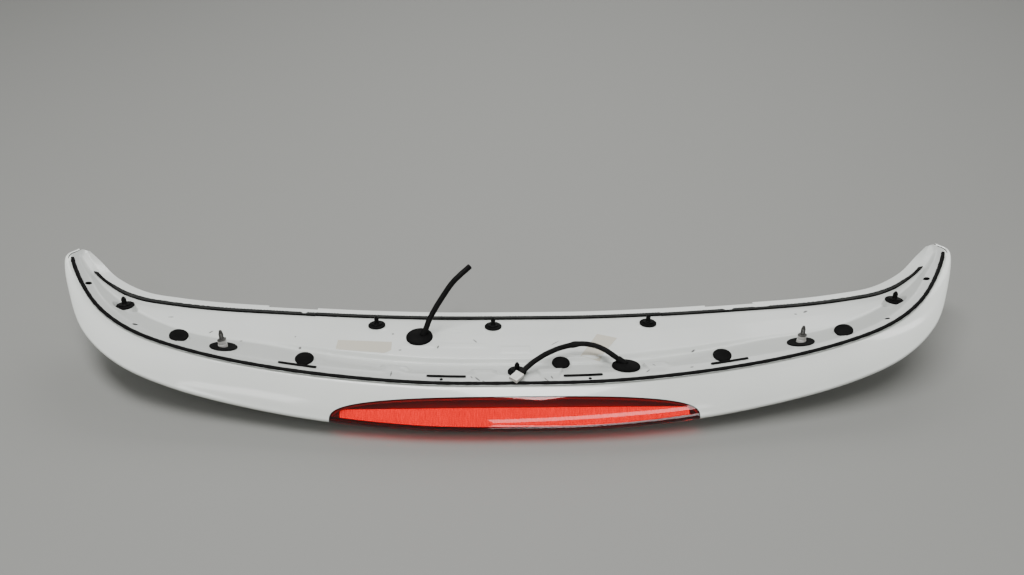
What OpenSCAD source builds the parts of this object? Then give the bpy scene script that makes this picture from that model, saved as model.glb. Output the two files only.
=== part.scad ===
/* [Overall] */
// Width from wing tip to wing tip
overall_w = 1264; // [1160:2:1400]
// Depth from the trailing edge to the ends of the wings
overall_d = 271; // [255:1:300]
// Depth of the blade at its middle
blade_d = 227.5; // [217.5:0.5:241.5]
// Height of the wing tips above the lowest line of the top skin
tip_h = 113; // [100:1:125]

/* [Blade section] */
// Height of the trailing nose at the middle
nose_h = 22; // [20:0.5:25]
// Height of the crease beside the perimeter seal at the middle
crease_h = 58; // [54:0.5:62]
// Height of the leading lip at the middle
lip_h = 26; // [24:0.5:30]
// Distance in plan from the trailing nose to the crease
band_w = 42.5; // [40:0.5:46]
// Outward swell of the painted rear band
band_swell = 2.2; // [1:0.1:3.5]
// Wall of the painted outer skin
skin_t = 3; // [2.6:0.1:3.4]
// Wall of the underside panel
panel_t = 2.5; // [2:0.1:2.8]
// Gap left for the glue between the panel and the skin
glue_gap = 0.3; // [0.2:0.05:0.4]
// Width of the level edge at the rear of the panel
rear_flange_w = 15; // [13:0.5:17]
// Width of the level edge at the front of the panel
front_flange_w = 24; // [21:0.5:27]
// Width of the skin's glued hem under the rear edge
rear_hem_w = 7; // [5:0.5:7.5]
// Width of the skin's glued hem under the front edge
front_hem_w = 12; // [9:0.5:13]
// Overhang of the leading lip past the skin
lip_over = 5; // [3.5:0.5:6]
// Depth of the valley below the straight line from crease to lip
recess_deep = 10; // [8:0.5:12]
// Height of the step at the foot of the front shelf
step_h = 7; // [5:0.5:8]

/* [Lip cut-outs] */
// Distance from the middle to the near end of a cut-out
cutout_x = 284; // [270:1:300]
// Length of a cut-out
cutout_l = 70; // [50:1:85]
// Depth of a cut-out
cutout_d = 4; // [2:0.5:4.5]

/* [Brake lamp] */
// Length of the lamp
lamp_l = 462; // [440:2:480]
// Height of the lamp across the rear band
lamp_h = 54; // [50:1:56]
// Height of the lamp's long axis up the rear band
lamp_rise = 14; // [12:0.5:16]
// Depth of the skin opening around the nose
lamp_reach = 14; // [12:0.5:15]
// Wall of the lamp lens
lens_t = 2.5; // [2:0.1:3]
// Gap between the lens and the skin
lens_gap = 0.8; // [0.5:0.1:1.2]
// Depth of the lamp tray
tray_d = 16; // [14:0.5:17]
// Wall of the lamp tray
tray_t = 1.6; // [1.4:0.1:2]
// Pitch of the ribs on the light guide
rib_pitch = 3.3; // [3:0.1:6]
// Number of light diodes
led_count = 16; // [8:1:24]

/* [Seals] */
// Width of the perimeter seal
seal_w = 5.4; // [4.6:0.2:6]
// Height of the perimeter seal
seal_h = 2; // [1.4:0.1:2.6]
// Distance from the crease to the middle of the perimeter seal
seal_in = 3; // [2.8:0.1:4]
// Width of the leading edge foam
foam_w = 6; // [4.5:0.5:7]
// Height of the leading edge foam
foam_h = 3; // [2:0.1:4]
// Distance from the lip to the middle of the foam
foam_in = 16.5; // [15:0.5:18]

/* [Mounting studs] */
// Distance of each stud from the middle
stud_x = 381.5; // [370:0.5:393]
// Distance of each stud from the crease
stud_in = 28; // [26.5:0.5:30]
// Diameter of the stud thread
stud_d = 6; // [5:0.5:8]
// Length of the stud above its seat
stud_l = 26; // [23:0.5:30]
// Length of the threaded stretch at the stud's end
thread_l = 8; // [6:0.5:10]
// Diameter of the spacer around the stud
spacer_d = 12.5; // [11.5:0.5:13.5]
// Diameter of the foam pad around the stud
pad_d = 35; // [32:1:36]

/* [Pin clips] */
// Distance of the outer front clips from the middle
front_clip_x = 193; // [185:1:201]
// Place of the middle front clip, left of the middle
mid_clip_x = 28; // [15:1:40]
// Distance of the wing clips from the wing tips
wing_clip_out = 100; // [95:1:105]
// Distance of the front clips from the lip
clip_in = 40.5; // [38.5:0.5:42.5]
// Diameter of the sealing washer of a clip
washer_d = 24; // [22:0.5:26]
// Diameter of the clip's pin
pin_d = 6.5; // [5:0.5:8]
// Height of the clip's pin above its seat
pin_h = 15; // [12:0.5:18]
// Lean of the studs and clips away from the trailing edge
mount_lean = 12; // [9:0.5:14]

/* [Plugs and grommets] */
// Diameter of a blanking plug
plug_d = 24; // [22:0.5:25]
// Distance of the outer plugs from the wing tips
outer_plug_out = 190; // [184:1:196]
// Distance of the inner plugs from the middle
inner_plug_x = 272; // [264:1:280]
// Place of the single plug, right of the middle
centre_plug_x = 62; // [54:1:70]
// Diameter of a grommet
grommet_d = 37; // [34:1:39]
// Place of the hose grommet, left of the middle
hose_grommet_x = 130; // [120:1:140]
// Place of the harness grommet, right of the middle
harness_grommet_x = 145; // [135:1:155]
// Diameter of the washer hose
hose_d = 8; // [6:0.5:9]
// Diameter of the harness tube
harness_d = 7; // [5:0.5:8]

/* [Felt strips] */
// Length of a felt strip
felt_l = 50; // [40:1:60]
// Width of a felt strip
felt_w = 4; // [3:0.5:6]
// Thickness of a felt strip
felt_t = 1; // [0.8:0.1:2]

/* [Hidden] */
$fn = 40;

// Rear nose, station by station from the middle to the tip: shares of half width and depth
rear_x_shares = [0, 0.19, 0.38, 0.554, 0.696, 0.807, 0.894, 0.956, 1, 0.985];
rear_y_shares = [0, 0.01, 0.057, 0.131, 0.209, 0.31, 0.472, 0.7, 0.92, 1];
rear_z_shares = [0, 0.01, 0.065, 0.16, 0.31, 0.48, 0.665, 0.855, 0.985, 1];
// Leading lip at the same stations: share of half width, then of the blade's depth ahead of the nose
front_x_shares = [0, 0.177, 0.356, 0.522, 0.657, 0.756, 0.831, 0.891, 0.934, 0.958];
depth_shares = [1, 0.988, 0.936, 0.853, 0.763, 0.655, 0.464, 0.229, 0.04, -0.014];
front_z_shares = [0, 0.01, 0.06, 0.14, 0.22, 0.3, 0.43, 0.64, 0.87, 0.98];
// Width of the rear band, height of the crease and height of the belly at the same stations
band_shares = [1, 0.99, 0.98, 0.94, 0.94, 0.91, 0.73, 0.37, 0.16, 0.13];
crease_shares = [0, 0.01, 0.06, 0.16, 0.315, 0.465, 0.64, 0.825, 0.965, 1];
belly_shares = [0, 0.008, 0.042, 0.126, 0.25, 0.39, 0.53, 0.69, 0.85, 0.93];
// Width of the level rear edge, depth of the recess, height of its step and place of its valley
rear_flange_shares = [1, 1, 0.95, 0.66, 0.6, 0.7, 0.9, 1, 1, 1];
recess_shares = [1, 1, 1, 1.05, 1.1, 0.75, 0.35, 0.15, 0.05, 0];
step_shares = [1, 1, 0.9, 0.25, 0.1, 0, 0, 0, 0, 0];
valley_shares = [0.32, 0.325, 0.36, 0.43, 0.42, 0.45, 0.5, 0.5, 0.5, 0.5];
// Height of the belly at the tip and widest share of a section that a flange may take
tip_belly_share = 0.86;
flange_share = 0.3;
lip_over_share = 0.1;

half_w = overall_w / 2;
substeps = 3;
last = len(rear_x_shares) - 1;
stations = [for (k = [-last * substeps : last * substeps]) k / substeps];
// Lift that keeps laid-on strips just clear of the panel
seat_gap = 0.3;
overrun = 40;

// Smooth curve through four neighbouring values
function curve(p0, p1, p2, p3, f) = (2 * p1 + (p2 - p0) * f + (2 * p0 - 5 * p1 + 4 * p2 - p3) * f * f
    + (3 * p1 - p0 - 3 * p2 + p3) * f * f * f) / 2;
function beyond(tab, i, f) = i + 2 > last ? 2 * tab[last] - tab[last - 1] : tab[i + 2];
// Value of a table at station t, the same on both sides of the middle
function even(tab, t) = let (a = min(abs(t), last), i = min(floor(a), last - 1))
    curve(tab[i == 0 ? 1 : i - 1], tab[i], tab[i + 1], beyond(tab, i), a - i);
// Value of a table of widths, which changes sign at the middle
function odd(tab, t) = let (a = min(abs(t), last), i = min(floor(a), last - 1))
    sign(t) * curve(i == 0 ? -tab[1] : tab[i - 1], tab[i], tab[i + 1], beyond(tab, i), a - i);
function lerp(a, b, f) = a + (b - a) * f;
function unit(v) = v / norm(v);

// Rails of the blade in plan and in height
function rear_pt(t) = [half_w * odd(rear_x_shares, t), overall_d * even(rear_y_shares, t) - overall_d / 2];
function front_pt(t) = [half_w * odd(front_x_shares, t), rear_pt(t).y + blade_d * even(depth_shares, t)];
function chord(t) = norm(front_pt(t) - rear_pt(t));
function across(t) = unit(front_pt(t) - rear_pt(t));
function nose_z(t) = lerp(nose_h, tip_h, even(rear_z_shares, t));
function crease_z(t) = lerp(crease_h, tip_h, even(crease_shares, t));
function lip_z(t) = lerp(lip_h, tip_h, even(front_z_shares, t));
function belly_z(t) = tip_h * tip_belly_share * even(belly_shares, t);
function band(t) = band_w * even(band_shares, t);
function panel_w(t) = chord(t) - band(t);
function rear_flange(t) = min(rear_flange_w * even(rear_flange_shares, t), panel_w(t) * flange_share);
function front_flange(t) = min(front_flange_w, panel_w(t) * flange_share);
function rear_hem(t) = min(rear_hem_w, panel_w(t) * flange_share);
function front_hem(t) = min(front_hem_w, panel_w(t) * flange_share);
function lip_reach(t) = min(lip_over, chord(t) * lip_over_share);
// Point of the section at station t, p = [distance in from the nose, height]
function sec(t, p) = let (r = rear_pt(t), d = across(t)) [r.x + d.x * p[0], r.y + d.y * p[0], p[1]];

// Path moved to its left by t, with mitred corners
function left_of(v) = [-v.y, v.x];
function inset(path, t) = let (n = len(path)) [for (i = [0 : n - 1])
    let (i0 = max(i, 1), i1 = min(i, n - 2),
         a = left_of(unit(path[i0] - path[i0 - 1])), b = left_of(unit(path[i1 + 1] - path[i1])))
    path[i] + (a + b) / (1 + a * b) * t];

// Outer line of the skin: rear hem, rear band, nose, belly, heel, front hem
swell_shares = [[0.75, 0.75], [0.5, 1], [0.25, 0.75], [0.1, 0.35]];
nose_shares = [[0.025, 0.62], [0.065, 0.3], [0.125, 0.11], [0.22, 0.02], [0.34, 0], [0.55, 0], [0.76, 0]];
heel_shares = [[0.88, 0.12], [0.95, 0.42], [0.985, 0.75]];
wall_share = 0.4;
face_a = atan2(crease_h - nose_h, band_w);
face_out = [-sin(face_a), cos(face_a)];
function skin_line(t) =
    let (b = band(t), zc = crease_z(t) - panel_t - glue_gap, zt = nose_z(t), zb = belly_z(t),
         sl = chord(t) - lip_reach(t), zl = lip_z(t) - panel_t - glue_gap, foot = lerp(zl, zb, wall_share))
    concat(
        [[b + rear_hem(t), zc], [b, zc]],
        [for (p = swell_shares) [b * p[0], lerp(zt, zc, p[0])] + face_out * band_swell * p[1]],
        [[0, zt]],
        [for (p = nose_shares) [sl * p[0], lerp(zb, zt, p[1])]],
        [for (p = heel_shares) [sl * p[0], lerp(zb, foot, p[1])]],
        [[sl, foot], [sl, zl], [sl - front_hem(t), zl]]);
// Stretch of that line from the crease to the nose, and on around the nose
face_from = 1;
face_to = 5;
nose_to = 10;

// Upper line of the panel: rear flange, slope, valley, step, front shelf, lip
slope_shares = [[0.12, 0.03], [0.9, 0.92]];
shelf_shares = [[0.06, 0.15], [0.6, 0.5]];
function panel_line(t) =
    let (b = band(t), w = panel_w(t), zc = crease_z(t), zl = lip_z(t), vs = even(valley_shares, t),
         a = b + rear_flange(t), v = b + w * vs, st = step_h * even(step_shares, t),
         zv = lerp(zc, zl, vs) - recess_deep * even(recess_shares, t), zs = zv + st,
         shelf = b + w - front_flange(t))
    concat([[b, zc], [a, zc]],
        [for (p = slope_shares) [lerp(a, v, p[0]), lerp(zc, zv, p[1])]],
        [[v, zv], [lerp(v, shelf, shelf_shares[0][0]), zs]],
        [[lerp(v, shelf, shelf_shares[1][0]), lerp(zs, zl, shelf_shares[1][1])]],
        [[shelf, lerp(zl, zs, shelf_shares[0][0])], [b + w, zl]]);

// Loft of closed rings, each facing itself across its wall
function tri(a, b, c, d) = [[a, c, b], [a, d, c]];
function side_faces(n, m) = [for (i = [0 : n - 2], j = [0 : m - 1])
    each tri(i * m + j, i * m + (j + 1) % m, (i + 1) * m + (j + 1) % m, (i + 1) * m + j)];
function cap_faces(m, base, turn) = [for (j = [0 : m / 2 - 2])
    let (a = base + j, b = base + m - 1 - j, c = base + m - 2 - j, d = base + j + 1)
    each (turn ? tri(d, c, b, a) : tri(a, b, c, d))];
module loft(rings) {
    m = len(rings[0]);
    n = len(rings);
    polyhedron([for (r = rings) each r],
        concat(side_faces(n, m), cap_faces(m, 0, false), cap_faces(m, (n - 1) * m, true)), convexity = 10);
}
function flip(list) = [for (i = [len(list) - 1 : -1 : 0]) list[i]];
function pick(list, a, b) = [for (i = [a : b]) list[i]];
function wall_ring(t, outer, inner) = [for (p = concat(outer, flip(inner))) sec(t, p)];

// Place on the panel: distance in from the crease, or back from the lip where that is negative
function from_nose(t, in) = in < 0 ? chord(t) + in : band(t) + in;
function panel_pt(t, s) = sec(t, [s, lookup(s, panel_line(t))]);
function find_t(x, in, lo, hi, n) = let (m = (lo + hi) / 2) n == 0 ? m :
    sec(m, [from_nose(m, in), 0]).x < x ? find_t(x, in, m, hi, n - 1) : find_t(x, in, lo, m, n - 1);
halvings = 24;
function t_at(x, in) = find_t(x, in, -last, last, halvings);
feel = 9;
feel_t = 0.1;
function normal(t, s) = unit(cross(panel_pt(t + feel_t, s) - panel_pt(t - feel_t, s),
    panel_pt(t, s + feel) - panel_pt(t, s - feel)));
// Ways a fitting stands: square to the panel, level from front to back, or leaning by a set angle
function stand(n, way) = way == "square" ? n : way == "level" ? unit([n.x, 0, n.z]) : [0, sin(way), cos(way)];
module seat(x, in, way = "square", up = 0) {
    t = t_at(x, in);
    s = from_nose(t, in);
    n = stand(normal(t, s), way);
    turn = [0, 0, atan2(n.y, n.x)];
    translate(panel_pt(t, s) + [0, 0, up]) rotate(turn) rotate([0, acos(n.z), 0]) rotate(-turn) children();
}
// Lift that brings a seat to a set depth below the crease
function up_to(x, in, below) = let (t = t_at(x, in)) crease_z(t) - below - panel_pt(t, from_nose(t, in)).z;

// Places of what the panel carries: place across, distance in, lift above the panel
wing_clip_x = half_w - wing_clip_out;
wing_clip_share = 0.62;
wing_clip_in = panel_w(t_at(wing_clip_x, -clip_in)) * wing_clip_share;
rear_clip_x = 3;
rear_clip_in = 25.7;
clip_up = 1;
clip_places = [[-wing_clip_x, -wing_clip_in], [-front_clip_x, -clip_in], [-mid_clip_x, -clip_in],
    [front_clip_x, -clip_in], [wing_clip_x, -wing_clip_in], [rear_clip_x, rear_clip_in]];
outer_plug_x = half_w - outer_plug_out;
outer_plug_in = 26.5;
outer_plug_below = 4.5;
inner_plug_in = 29;
inner_plug_below = 2;
centre_plug_in = 56;
centre_plug_up = 3.5;
outer_plug_up = up_to(outer_plug_x, outer_plug_in, outer_plug_below);
inner_plug_up = up_to(inner_plug_x, inner_plug_in, inner_plug_below);
plug_places = [[-outer_plug_x, outer_plug_in, outer_plug_up], [-inner_plug_x, inner_plug_in, inner_plug_up],
    [centre_plug_x, centre_plug_in, centre_plug_up],
    [inner_plug_x, inner_plug_in, inner_plug_up], [outer_plug_x, outer_plug_in, outer_plug_up]];
hose_grommet_in = 70;
hose_grommet_lean = 3;
harness_grommet_in = 32.5;
harness_grommet_lean = 19;
grommet_places = [[-hose_grommet_x, -hose_grommet_in, hose_grommet_lean],
    [harness_grommet_x, harness_grommet_in, harness_grommet_lean]];

// Bosses of the panel and what runs through them
boss_t = 4.5;
boss_up = 1;
boss_rim = 0.5;
clip_bore_d = 9;
plug_bore_d = 17;
grommet_bore_d = 28;
bore_gap = 0.4;
pocket_wall = 1;
pad_seat_share = 0.8;
// Cut that levels the panel above a seat
module spot_face(d) { translate([0, 0, boss_up]) cylinder(d = d + boss_rim, h = overrun); }
module boss(d) { translate([0, 0, -boss_t]) cylinder(d = d + 2 * boss_rim, h = boss_t + boss_up); }
module bore(d) { translate([0, 0, -overrun / 2]) cylinder(d = d, h = overrun); }
module room_behind(d) { translate([0, 0, -boss_t - overrun]) cylinder(d = d + snap_room, h = overrun); }
snap_room = 4;
// Level pedestal of a fitting, with the wall of its pocket where the panel rises beside it
module half_space(side) {
    translate([-overrun, -overrun, side > 0 ? 0 : -2 * overrun]) cube(2 * overrun);
}
module pocket_boss(p, d, way) {
    difference() {
        seat(p[0], p[1], way, p[2]) bore(d + 2 * boss_rim + 2 * pocket_wall);
        intersection() {
            seat(p[0], p[1], way, p[2]) half_space(1);
            seat(p[0], p[1]) half_space(1);
        }
        seat(p[0], p[1], "level", up_to(p[0], p[1], boss_rim)) half_space(1);
        intersection() {
            seat(p[0], p[1], way, p[2]) translate([0, 0, -boss_t]) half_space(-1);
            seat(p[0], p[1]) translate([0, 0, -panel_t / 2]) half_space(-1);
        }
    }
}
module pocket(p, d, bore_d, way) {
    seat(p[0], p[1], way, p[2]) {
        bore(bore_d + bore_gap);
        cylinder(d = d + 2 * boss_rim, h = overrun);
        room_behind(bore_d);
    }
}
// Level ring under a stud's spacer and level face for its head, on the sloping rear of the panel
module stud_seat() {
    translate([0, 0, -boss_t]) cylinder(d = spacer_d + 2 * boss_rim, h = boss_t);
    translate([0, 0, -boss_t]) cylinder(d = stud_head_d + 2 * boss_rim, h = boss_t - boss_up - 2 * boss_rim);
}
// Buttress on the slope: ends across, distances in, and what its top stands above the slope
buttress_places = [[-155, 10, 15], [-40, 7, 11], [45, 7, 11], [184, 9, 13]];
buttress_w = 20;
buttress_flare = 14;
buttress_run = 20;
buttress_top = 4.5;
buttress_foot = 3;
buttress_deep = 0.7;
module buttress(p) {
    ins = [p[1], p[2], p[2] + buttress_run, p[2] + buttress_run + buttress_foot];
    tops = [-boss_rim, -boss_rim, buttress_top, -boss_rim];
    wide = [buttress_w, buttress_w, buttress_w + buttress_flare, buttress_w + buttress_flare];
    loft([for (k = [0 : len(ins) - 1]) let (t0 = t_at(p[0] - wide[k] / 2, ins[k]), t1 = t_at(p[0] + wide[k] / 2, ins[k]),
        a = panel_pt(t0, from_nose(t0, ins[k])), b = panel_pt(t1, from_nose(t1, ins[k])))
        [b - [0, 0, panel_t * buttress_deep], a - [0, 0, panel_t * buttress_deep],
            a + [0, 0, tops[k]], b + [0, 0, tops[k]]]]);
}

module outer_skin() {
    color("white") difference() {
        loft([for (t = stations) let (o = skin_line(t)) wall_ring(t, o, inset(o, skin_t))]);
        lamp_prism(lens_gap, lamp_reach);
    }
}

module underside_panel() {
    color("gainsboro") difference() {
        union() {
            difference() {
                union() {
                    loft([for (t = stations) let (o = panel_line(t)) wall_ring(t, inset(o, -panel_t), o)]);
                    for (x = [-stud_x, stud_x]) seat(x, stud_in) boss(pad_d * pad_seat_share);
                    for (p = grommet_places) seat(p[0], p[1], p[2]) boss(grommet_d);
                    for (p = buttress_places) buttress(p);
                }
                for (x = [-stud_x, stud_x]) seat(x, stud_in) spot_face(pad_d);
            }
            for (p = clip_places) pocket_boss([p[0], p[1], clip_up], washer_d, mount_lean);
            for (p = plug_places) pocket_boss(p, plug_d, "level");
            for (x = [-stud_x, stud_x]) seat(x, stud_in, mount_lean) stud_seat();
        }
        for (p = clip_places) pocket([p[0], p[1], clip_up], washer_d, clip_bore_d, mount_lean);
        for (p = plug_places) pocket(p, plug_d, plug_bore_d, "level");
        for (x = [-stud_x, stud_x]) seat(x, stud_in, mount_lean) {
            bore(stud_d + bore_gap);
            cylinder(d = spacer_d + 2 * boss_rim, h = overrun);
            room_behind(stud_head_d + 2 * boss_rim - snap_room);
        }
        for (p = grommet_places) seat(p[0], p[1], p[2]) {
            bore(grommet_bore_d + bore_gap);
            spot_face(grommet_d);
        }
        for (side = [-1, 1]) lip_cutout(side);
    }
}
module lip_cutout(side) {
    mid = cutout_x + cutout_l / 2;
    t = t_at(side * mid, -cutout_d);
    f = front_pt(t);
    ahead = front_pt(t + feel_t) - front_pt(t - feel_t);
    translate([f.x, f.y, lip_z(t)]) rotate([0, 0, atan2(ahead.y, ahead.x)])
        translate([-cutout_l / 2, -cutout_d, -overrun / 2]) cube([cutout_l, overrun, overrun]);
}

// Strip laid along the panel between two stations, with its middle a set distance in
round_shares = [[-0.5, 0], [-0.36, 0.8], [-0.15, 1], [0.15, 1], [0.36, 0.8], [0.5, 0]];
block_shares = [[-0.5, 0], [-0.5, 1], [0.5, 1], [0.5, 0]];
module strip(t0, t1, in, w, h, shares, lift = seat_gap) {
    ts = concat([t0], [for (t = stations) if (t > t0 + feel_t && t < t1 - feel_t) t], [t1]);
    loft([for (t = ts) [for (p = flip(shares)) let (s = from_nose(t, in) + w * p[0])
        panel_pt(t, s) + [0, 0, lift + h * p[1]]]]);
}
seal_to = last - 1;
module perimeter_seal() {
    color("black") strip(-seal_to, seal_to, seal_in, seal_w, seal_h, round_shares, 2 * seat_gap);
}
foam_break_left_x = -283;
foam_break_right_x = 216;
foam_end_x = half_w - 44;
foam_cut = 0.4;
foam_shift = 0.6;
module front_foam(x0, x1, in) {
    color("black") strip(t_at(x0, -in), t_at(x1, -in), -in, foam_w, foam_h, block_shares);
}
module felt(x, in) {
    color("black") strip(t_at(x - felt_l / 2, in), t_at(x + felt_l / 2, in), in, felt_w, felt_t, block_shares);
}
outer_felt_x = 278;
outer_felt_in = 14.5;
inner_felt_x = 87;
inner_felt_in = 15.5;

// Rear band frame of the lamp: up the band and square out of it
face_up = [0, cos(face_a), sin(face_a)];
lamp_curl = 3.2;
outline_steps = 48;
function curl(c) = sign(c) * pow(abs(c), 2 / lamp_curl);
function lamp_outline(grow) = [for (i = [0 : outline_steps - 1]) let (a = 360 * i / outline_steps)
    [(lamp_l / 2 + grow) * curl(cos(a)), lamp_rise + (lamp_h / 2 + grow) * curl(sin(a))]];
module face_frame() { translate([0, -overall_d / 2, nose_h]) rotate([face_a, 0, 0]) children(); }
module lamp_prism(grow, deep) {
    face_frame() translate([0, 0, -deep]) linear_extrude(height = deep + overrun) polygon(lamp_outline(grow));
}
lamp_t = t_at(lamp_l / 2 + overrun / 2, 0);
lamp_stations = [for (t = stations) if (abs(t) < lamp_t + feel_t) t];
lamp_clear = 0.4;
// Block behind the rear band from depth d0 to depth d1
module face_block(d0, d1) {
    loft([for (t = lamp_stations) let (f = pick(inset(skin_line(t), d0), face_from, face_to))
        wall_ring(t, f, [for (p = f) p - face_out * (d1 - d0)])]);
}
module lamp_lens() {
    color("firebrick") intersection() {
        loft([for (t = lamp_stations) let (o = skin_line(t))
            wall_ring(t, pick(o, face_from, nose_to), pick(inset(o, lens_t), face_from, nose_to))]);
        lamp_prism(0, lamp_reach - lens_gap);
    }
}
gasket_t = 2;
gasket_w = 6;
post_d = 5;
post_shares = [-0.44, -0.15, 0.15, 0.44];
tray_in = 1.2;
tray_flange_t = 2;
tray_flange_d = skin_t + gasket_t + 2 * lamp_clear;
module lamp_tray() {
    color("dimgray") difference() {
        union() {
            intersection() {
                face_block(lens_t + lamp_clear, tray_d);
                lamp_prism(-tray_in, overrun);
            }
            intersection() {
                face_block(tray_flange_d, tray_flange_d + tray_flange_t);
                lamp_prism(gasket_w, overrun);
            }
        }
        intersection() {
            face_block(0, tray_d - tray_t);
            lamp_prism(-tray_in - tray_t, overrun);
        }
    }
    color("dimgray") intersection() {
        face_block(lens_t + lamp_clear, tray_d);
        on_board() for (share = post_shares)
            translate([board_l * share, board_w / 2, -overrun]) cylinder(d = post_d, h = overrun);
    }
}
module lamp_gasket() {
    color("black") difference() {
        intersection() {
            face_block(skin_t + lamp_clear, skin_t + lamp_clear + gasket_t);
            lamp_prism(gasket_w, overrun);
        }
        lamp_prism(lens_gap, overrun);
    }
}
// Ribbed light guide: its top edge is straight, its foot follows the nose
guide_l = 438;
guide_top = 28;
guide_foot = 4.5;
guide_d = 3.2;
guide_t = 2;
rib_d = 0.7;
ribs = floor(guide_l / rib_pitch);
function face_pt(x, up, deep) =
    let (t = t_at(x, -chord(0) / 2), r = rear_pt(t), z = nose_z(t))
    [x, r.y, z] + face_up * up - [0, face_out[0], face_out[1]] * deep;
function nose_up(x) = let (t = t_at(x, -chord(0) / 2), r = rear_pt(t))
    [0, r.y + overall_d / 2, nose_z(t) - nose_h] * face_up;
module lamp_light_guide() {
    color("red") intersection() {
        loft([for (i = [0 : 2 * ribs])
            let (x = (i / (2 * ribs) - 1 / 2) * guide_l, top = guide_top - nose_up(x),
                 front = guide_d + (i % 2) * rib_d)
            [face_pt(x, top, front), face_pt(x, guide_foot, front),
             face_pt(x, guide_foot, guide_d + guide_t), face_pt(x, top, guide_d + guide_t)]]);
        lamp_prism(-tray_in - tray_t - lamp_clear, overrun);
    }
}
board_l = 370;
board_w = 10;
board_t = 1.2;
board_up = 14;
led_w = 3.5;
led_h = 1.6;
led_run = 330;
module on_board() {
    face_frame() translate([0, board_up, lamp_clear + tray_t + band_swell - tray_d]) children();
}
module lamp_board() {
    color("green") on_board() translate([-board_l / 2, 0, 0]) cube([board_l, board_w, board_t]);
}
module lamp_leds() {
    color("khaki") on_board() for (i = [0 : led_count - 1])
        translate([led_run * (i / (led_count - 1) - 1 / 2) - led_w / 2, (board_w - led_w) / 2, board_t])
            cube([led_w, led_w, led_h]);
}

// Stud: head behind the panel, shank, thread with a dog point
stud_head_d = 18;
stud_head_h = 2.5;
shank_share = 0.87;
shank_d = stud_d * shank_share;
dog_d = stud_d / 2;
dog_h = stud_d * 2 / 3;
pad_h = 2;
pad_room = 3;
nut_d = 11.5;
spacer_top_d = spacer_d * 0.84;
nut_h = 1.8;
spacer_h = stud_l - dog_h - thread_l - nut_h - bore_gap;
module revolve(points) { rotate_extrude() polygon(points); }
module ring(d, bore_d, z, h, top_d = 0) {
    translate([0, 0, z]) difference() {
        cylinder(d1 = d, d2 = top_d > 0 ? top_d : d, h = h);
        translate([0, 0, -overrun / 2]) cylinder(d = bore_d, h = overrun);
    }
}
module stud(x) {
    r = stud_d / 2;
    top = stud_l - dog_h;
    color("silver") seat(x, stud_in, mount_lean) revolve([[0, -boss_t - stud_head_h], [stud_head_d / 2, -boss_t - stud_head_h],
        [stud_head_d / 2, -boss_t], [shank_d / 2, -boss_t], [shank_d / 2, top - thread_l],
        [r, top - thread_l], [r, top], [dog_d / 2, stud_l], [0, stud_l]]);
}
module stud_pad(x) {
    color("black") seat(x, stud_in) ring(pad_d, spacer_d + pad_room, boss_up, pad_h);
}
module stud_spacer(x) {
    color("white") seat(x, stud_in, mount_lean) ring(spacer_d, stud_d + bore_gap, 0, spacer_h, spacer_top_d);
}
module push_nut(x) {
    color("dimgray") seat(x, stud_in, mount_lean) ring(nut_d, shank_d + bore_gap, spacer_h, nut_h);
}

// Pin clip: barbed shank, head on its sealing washer, pointed pin
washer_h = 3;
head_d = 15;
head_h = 1.6;
barb_h = 2;
tip_share = 0.3;
module pin_clip(i) {
    z0 = washer_h;
    r = clip_bore_d / 2;
    foot = -boss_t - barb_h;
    color("black") seat(clip_places[i][0], clip_places[i][1], mount_lean, clip_up) revolve([[0, foot - barb_h],
        [r * tip_share, foot - barb_h], [r + bore_gap, foot], [r, -boss_t - bore_gap], [r, z0],
        [head_d / 2, z0], [head_d / 2, z0 + head_h], [pin_d / 2, z0 + head_h],
        [pin_d / 2, lerp(z0, pin_h, 1 - tip_share)], [pin_d / 2 * tip_share, pin_h], [0, pin_h]]);
}
module washer(i) {
    color("black") seat(clip_places[i][0], clip_places[i][1], mount_lean, clip_up)
        ring(washer_d, clip_bore_d + bore_gap, 0, washer_h);
}

// Blanking plug: domed head, shank, snap rim behind the panel
dome_shares = [[1, 0], [1, 0.45], [0.9, 0.8], [0.7, 0.94], [0.4, 1], [0, 1]];
plug_h = 2.4;
snap_h = 2.4;
function dome(d, z, h) = [for (p = dome_shares) [d / 2 * p[0], z + h * p[1]]];
module domed(d, bore_d, up, h) {
    r = bore_d / 2;
    revolve(concat([[0, -boss_t - snap_h], [r - snap_h / 2, -boss_t - snap_h], [r + bore_gap, -boss_t - bore_gap],
        [r, -boss_t - bore_gap], [r, up]], dome(d, up, h)));
}
module plug(i) {
    color("black") seat(plug_places[i][0], plug_places[i][1], "level", plug_places[i][2])
        domed(plug_d, plug_bore_d, 0, plug_h);
}
grommet_h = 4.4;
// Nipple that each cord leaves by: wall, length, lean and place as shares of the grommet's width
nipple_t = 1.5;
nipple_up = 2.6;
hose_nipple_h = 9;
hose_lean = [0, 45, 60];
hose_nipple_shares = [0.135, 0.04];
harness_nipple_h = 14;
harness_lean = [0, 66, 146];
harness_nipple_shares = [0.012, 0.046];
module nipple(shares, lean, cord_d, h) {
    translate([grommet_d * shares[0], grommet_d * shares[1], nipple_up]) rotate(lean)
        cylinder(d = cord_d + 2 * nipple_t, h = h);
}
module hose_grommet() {
    color("black") seat(-hose_grommet_x, -hose_grommet_in, hose_grommet_lean) {
        domed(grommet_d, grommet_bore_d, boss_up, grommet_h);
        nipple(hose_nipple_shares, hose_lean, hose_d, hose_nipple_h);
    }
}
module harness_grommet() {
    color("black") seat(harness_grommet_x, harness_grommet_in, harness_grommet_lean) {
        domed(grommet_d, grommet_bore_d, boss_up, grommet_h);
        nipple(harness_nipple_shares, harness_lean, harness_d, harness_nipple_h);
    }
}

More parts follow.
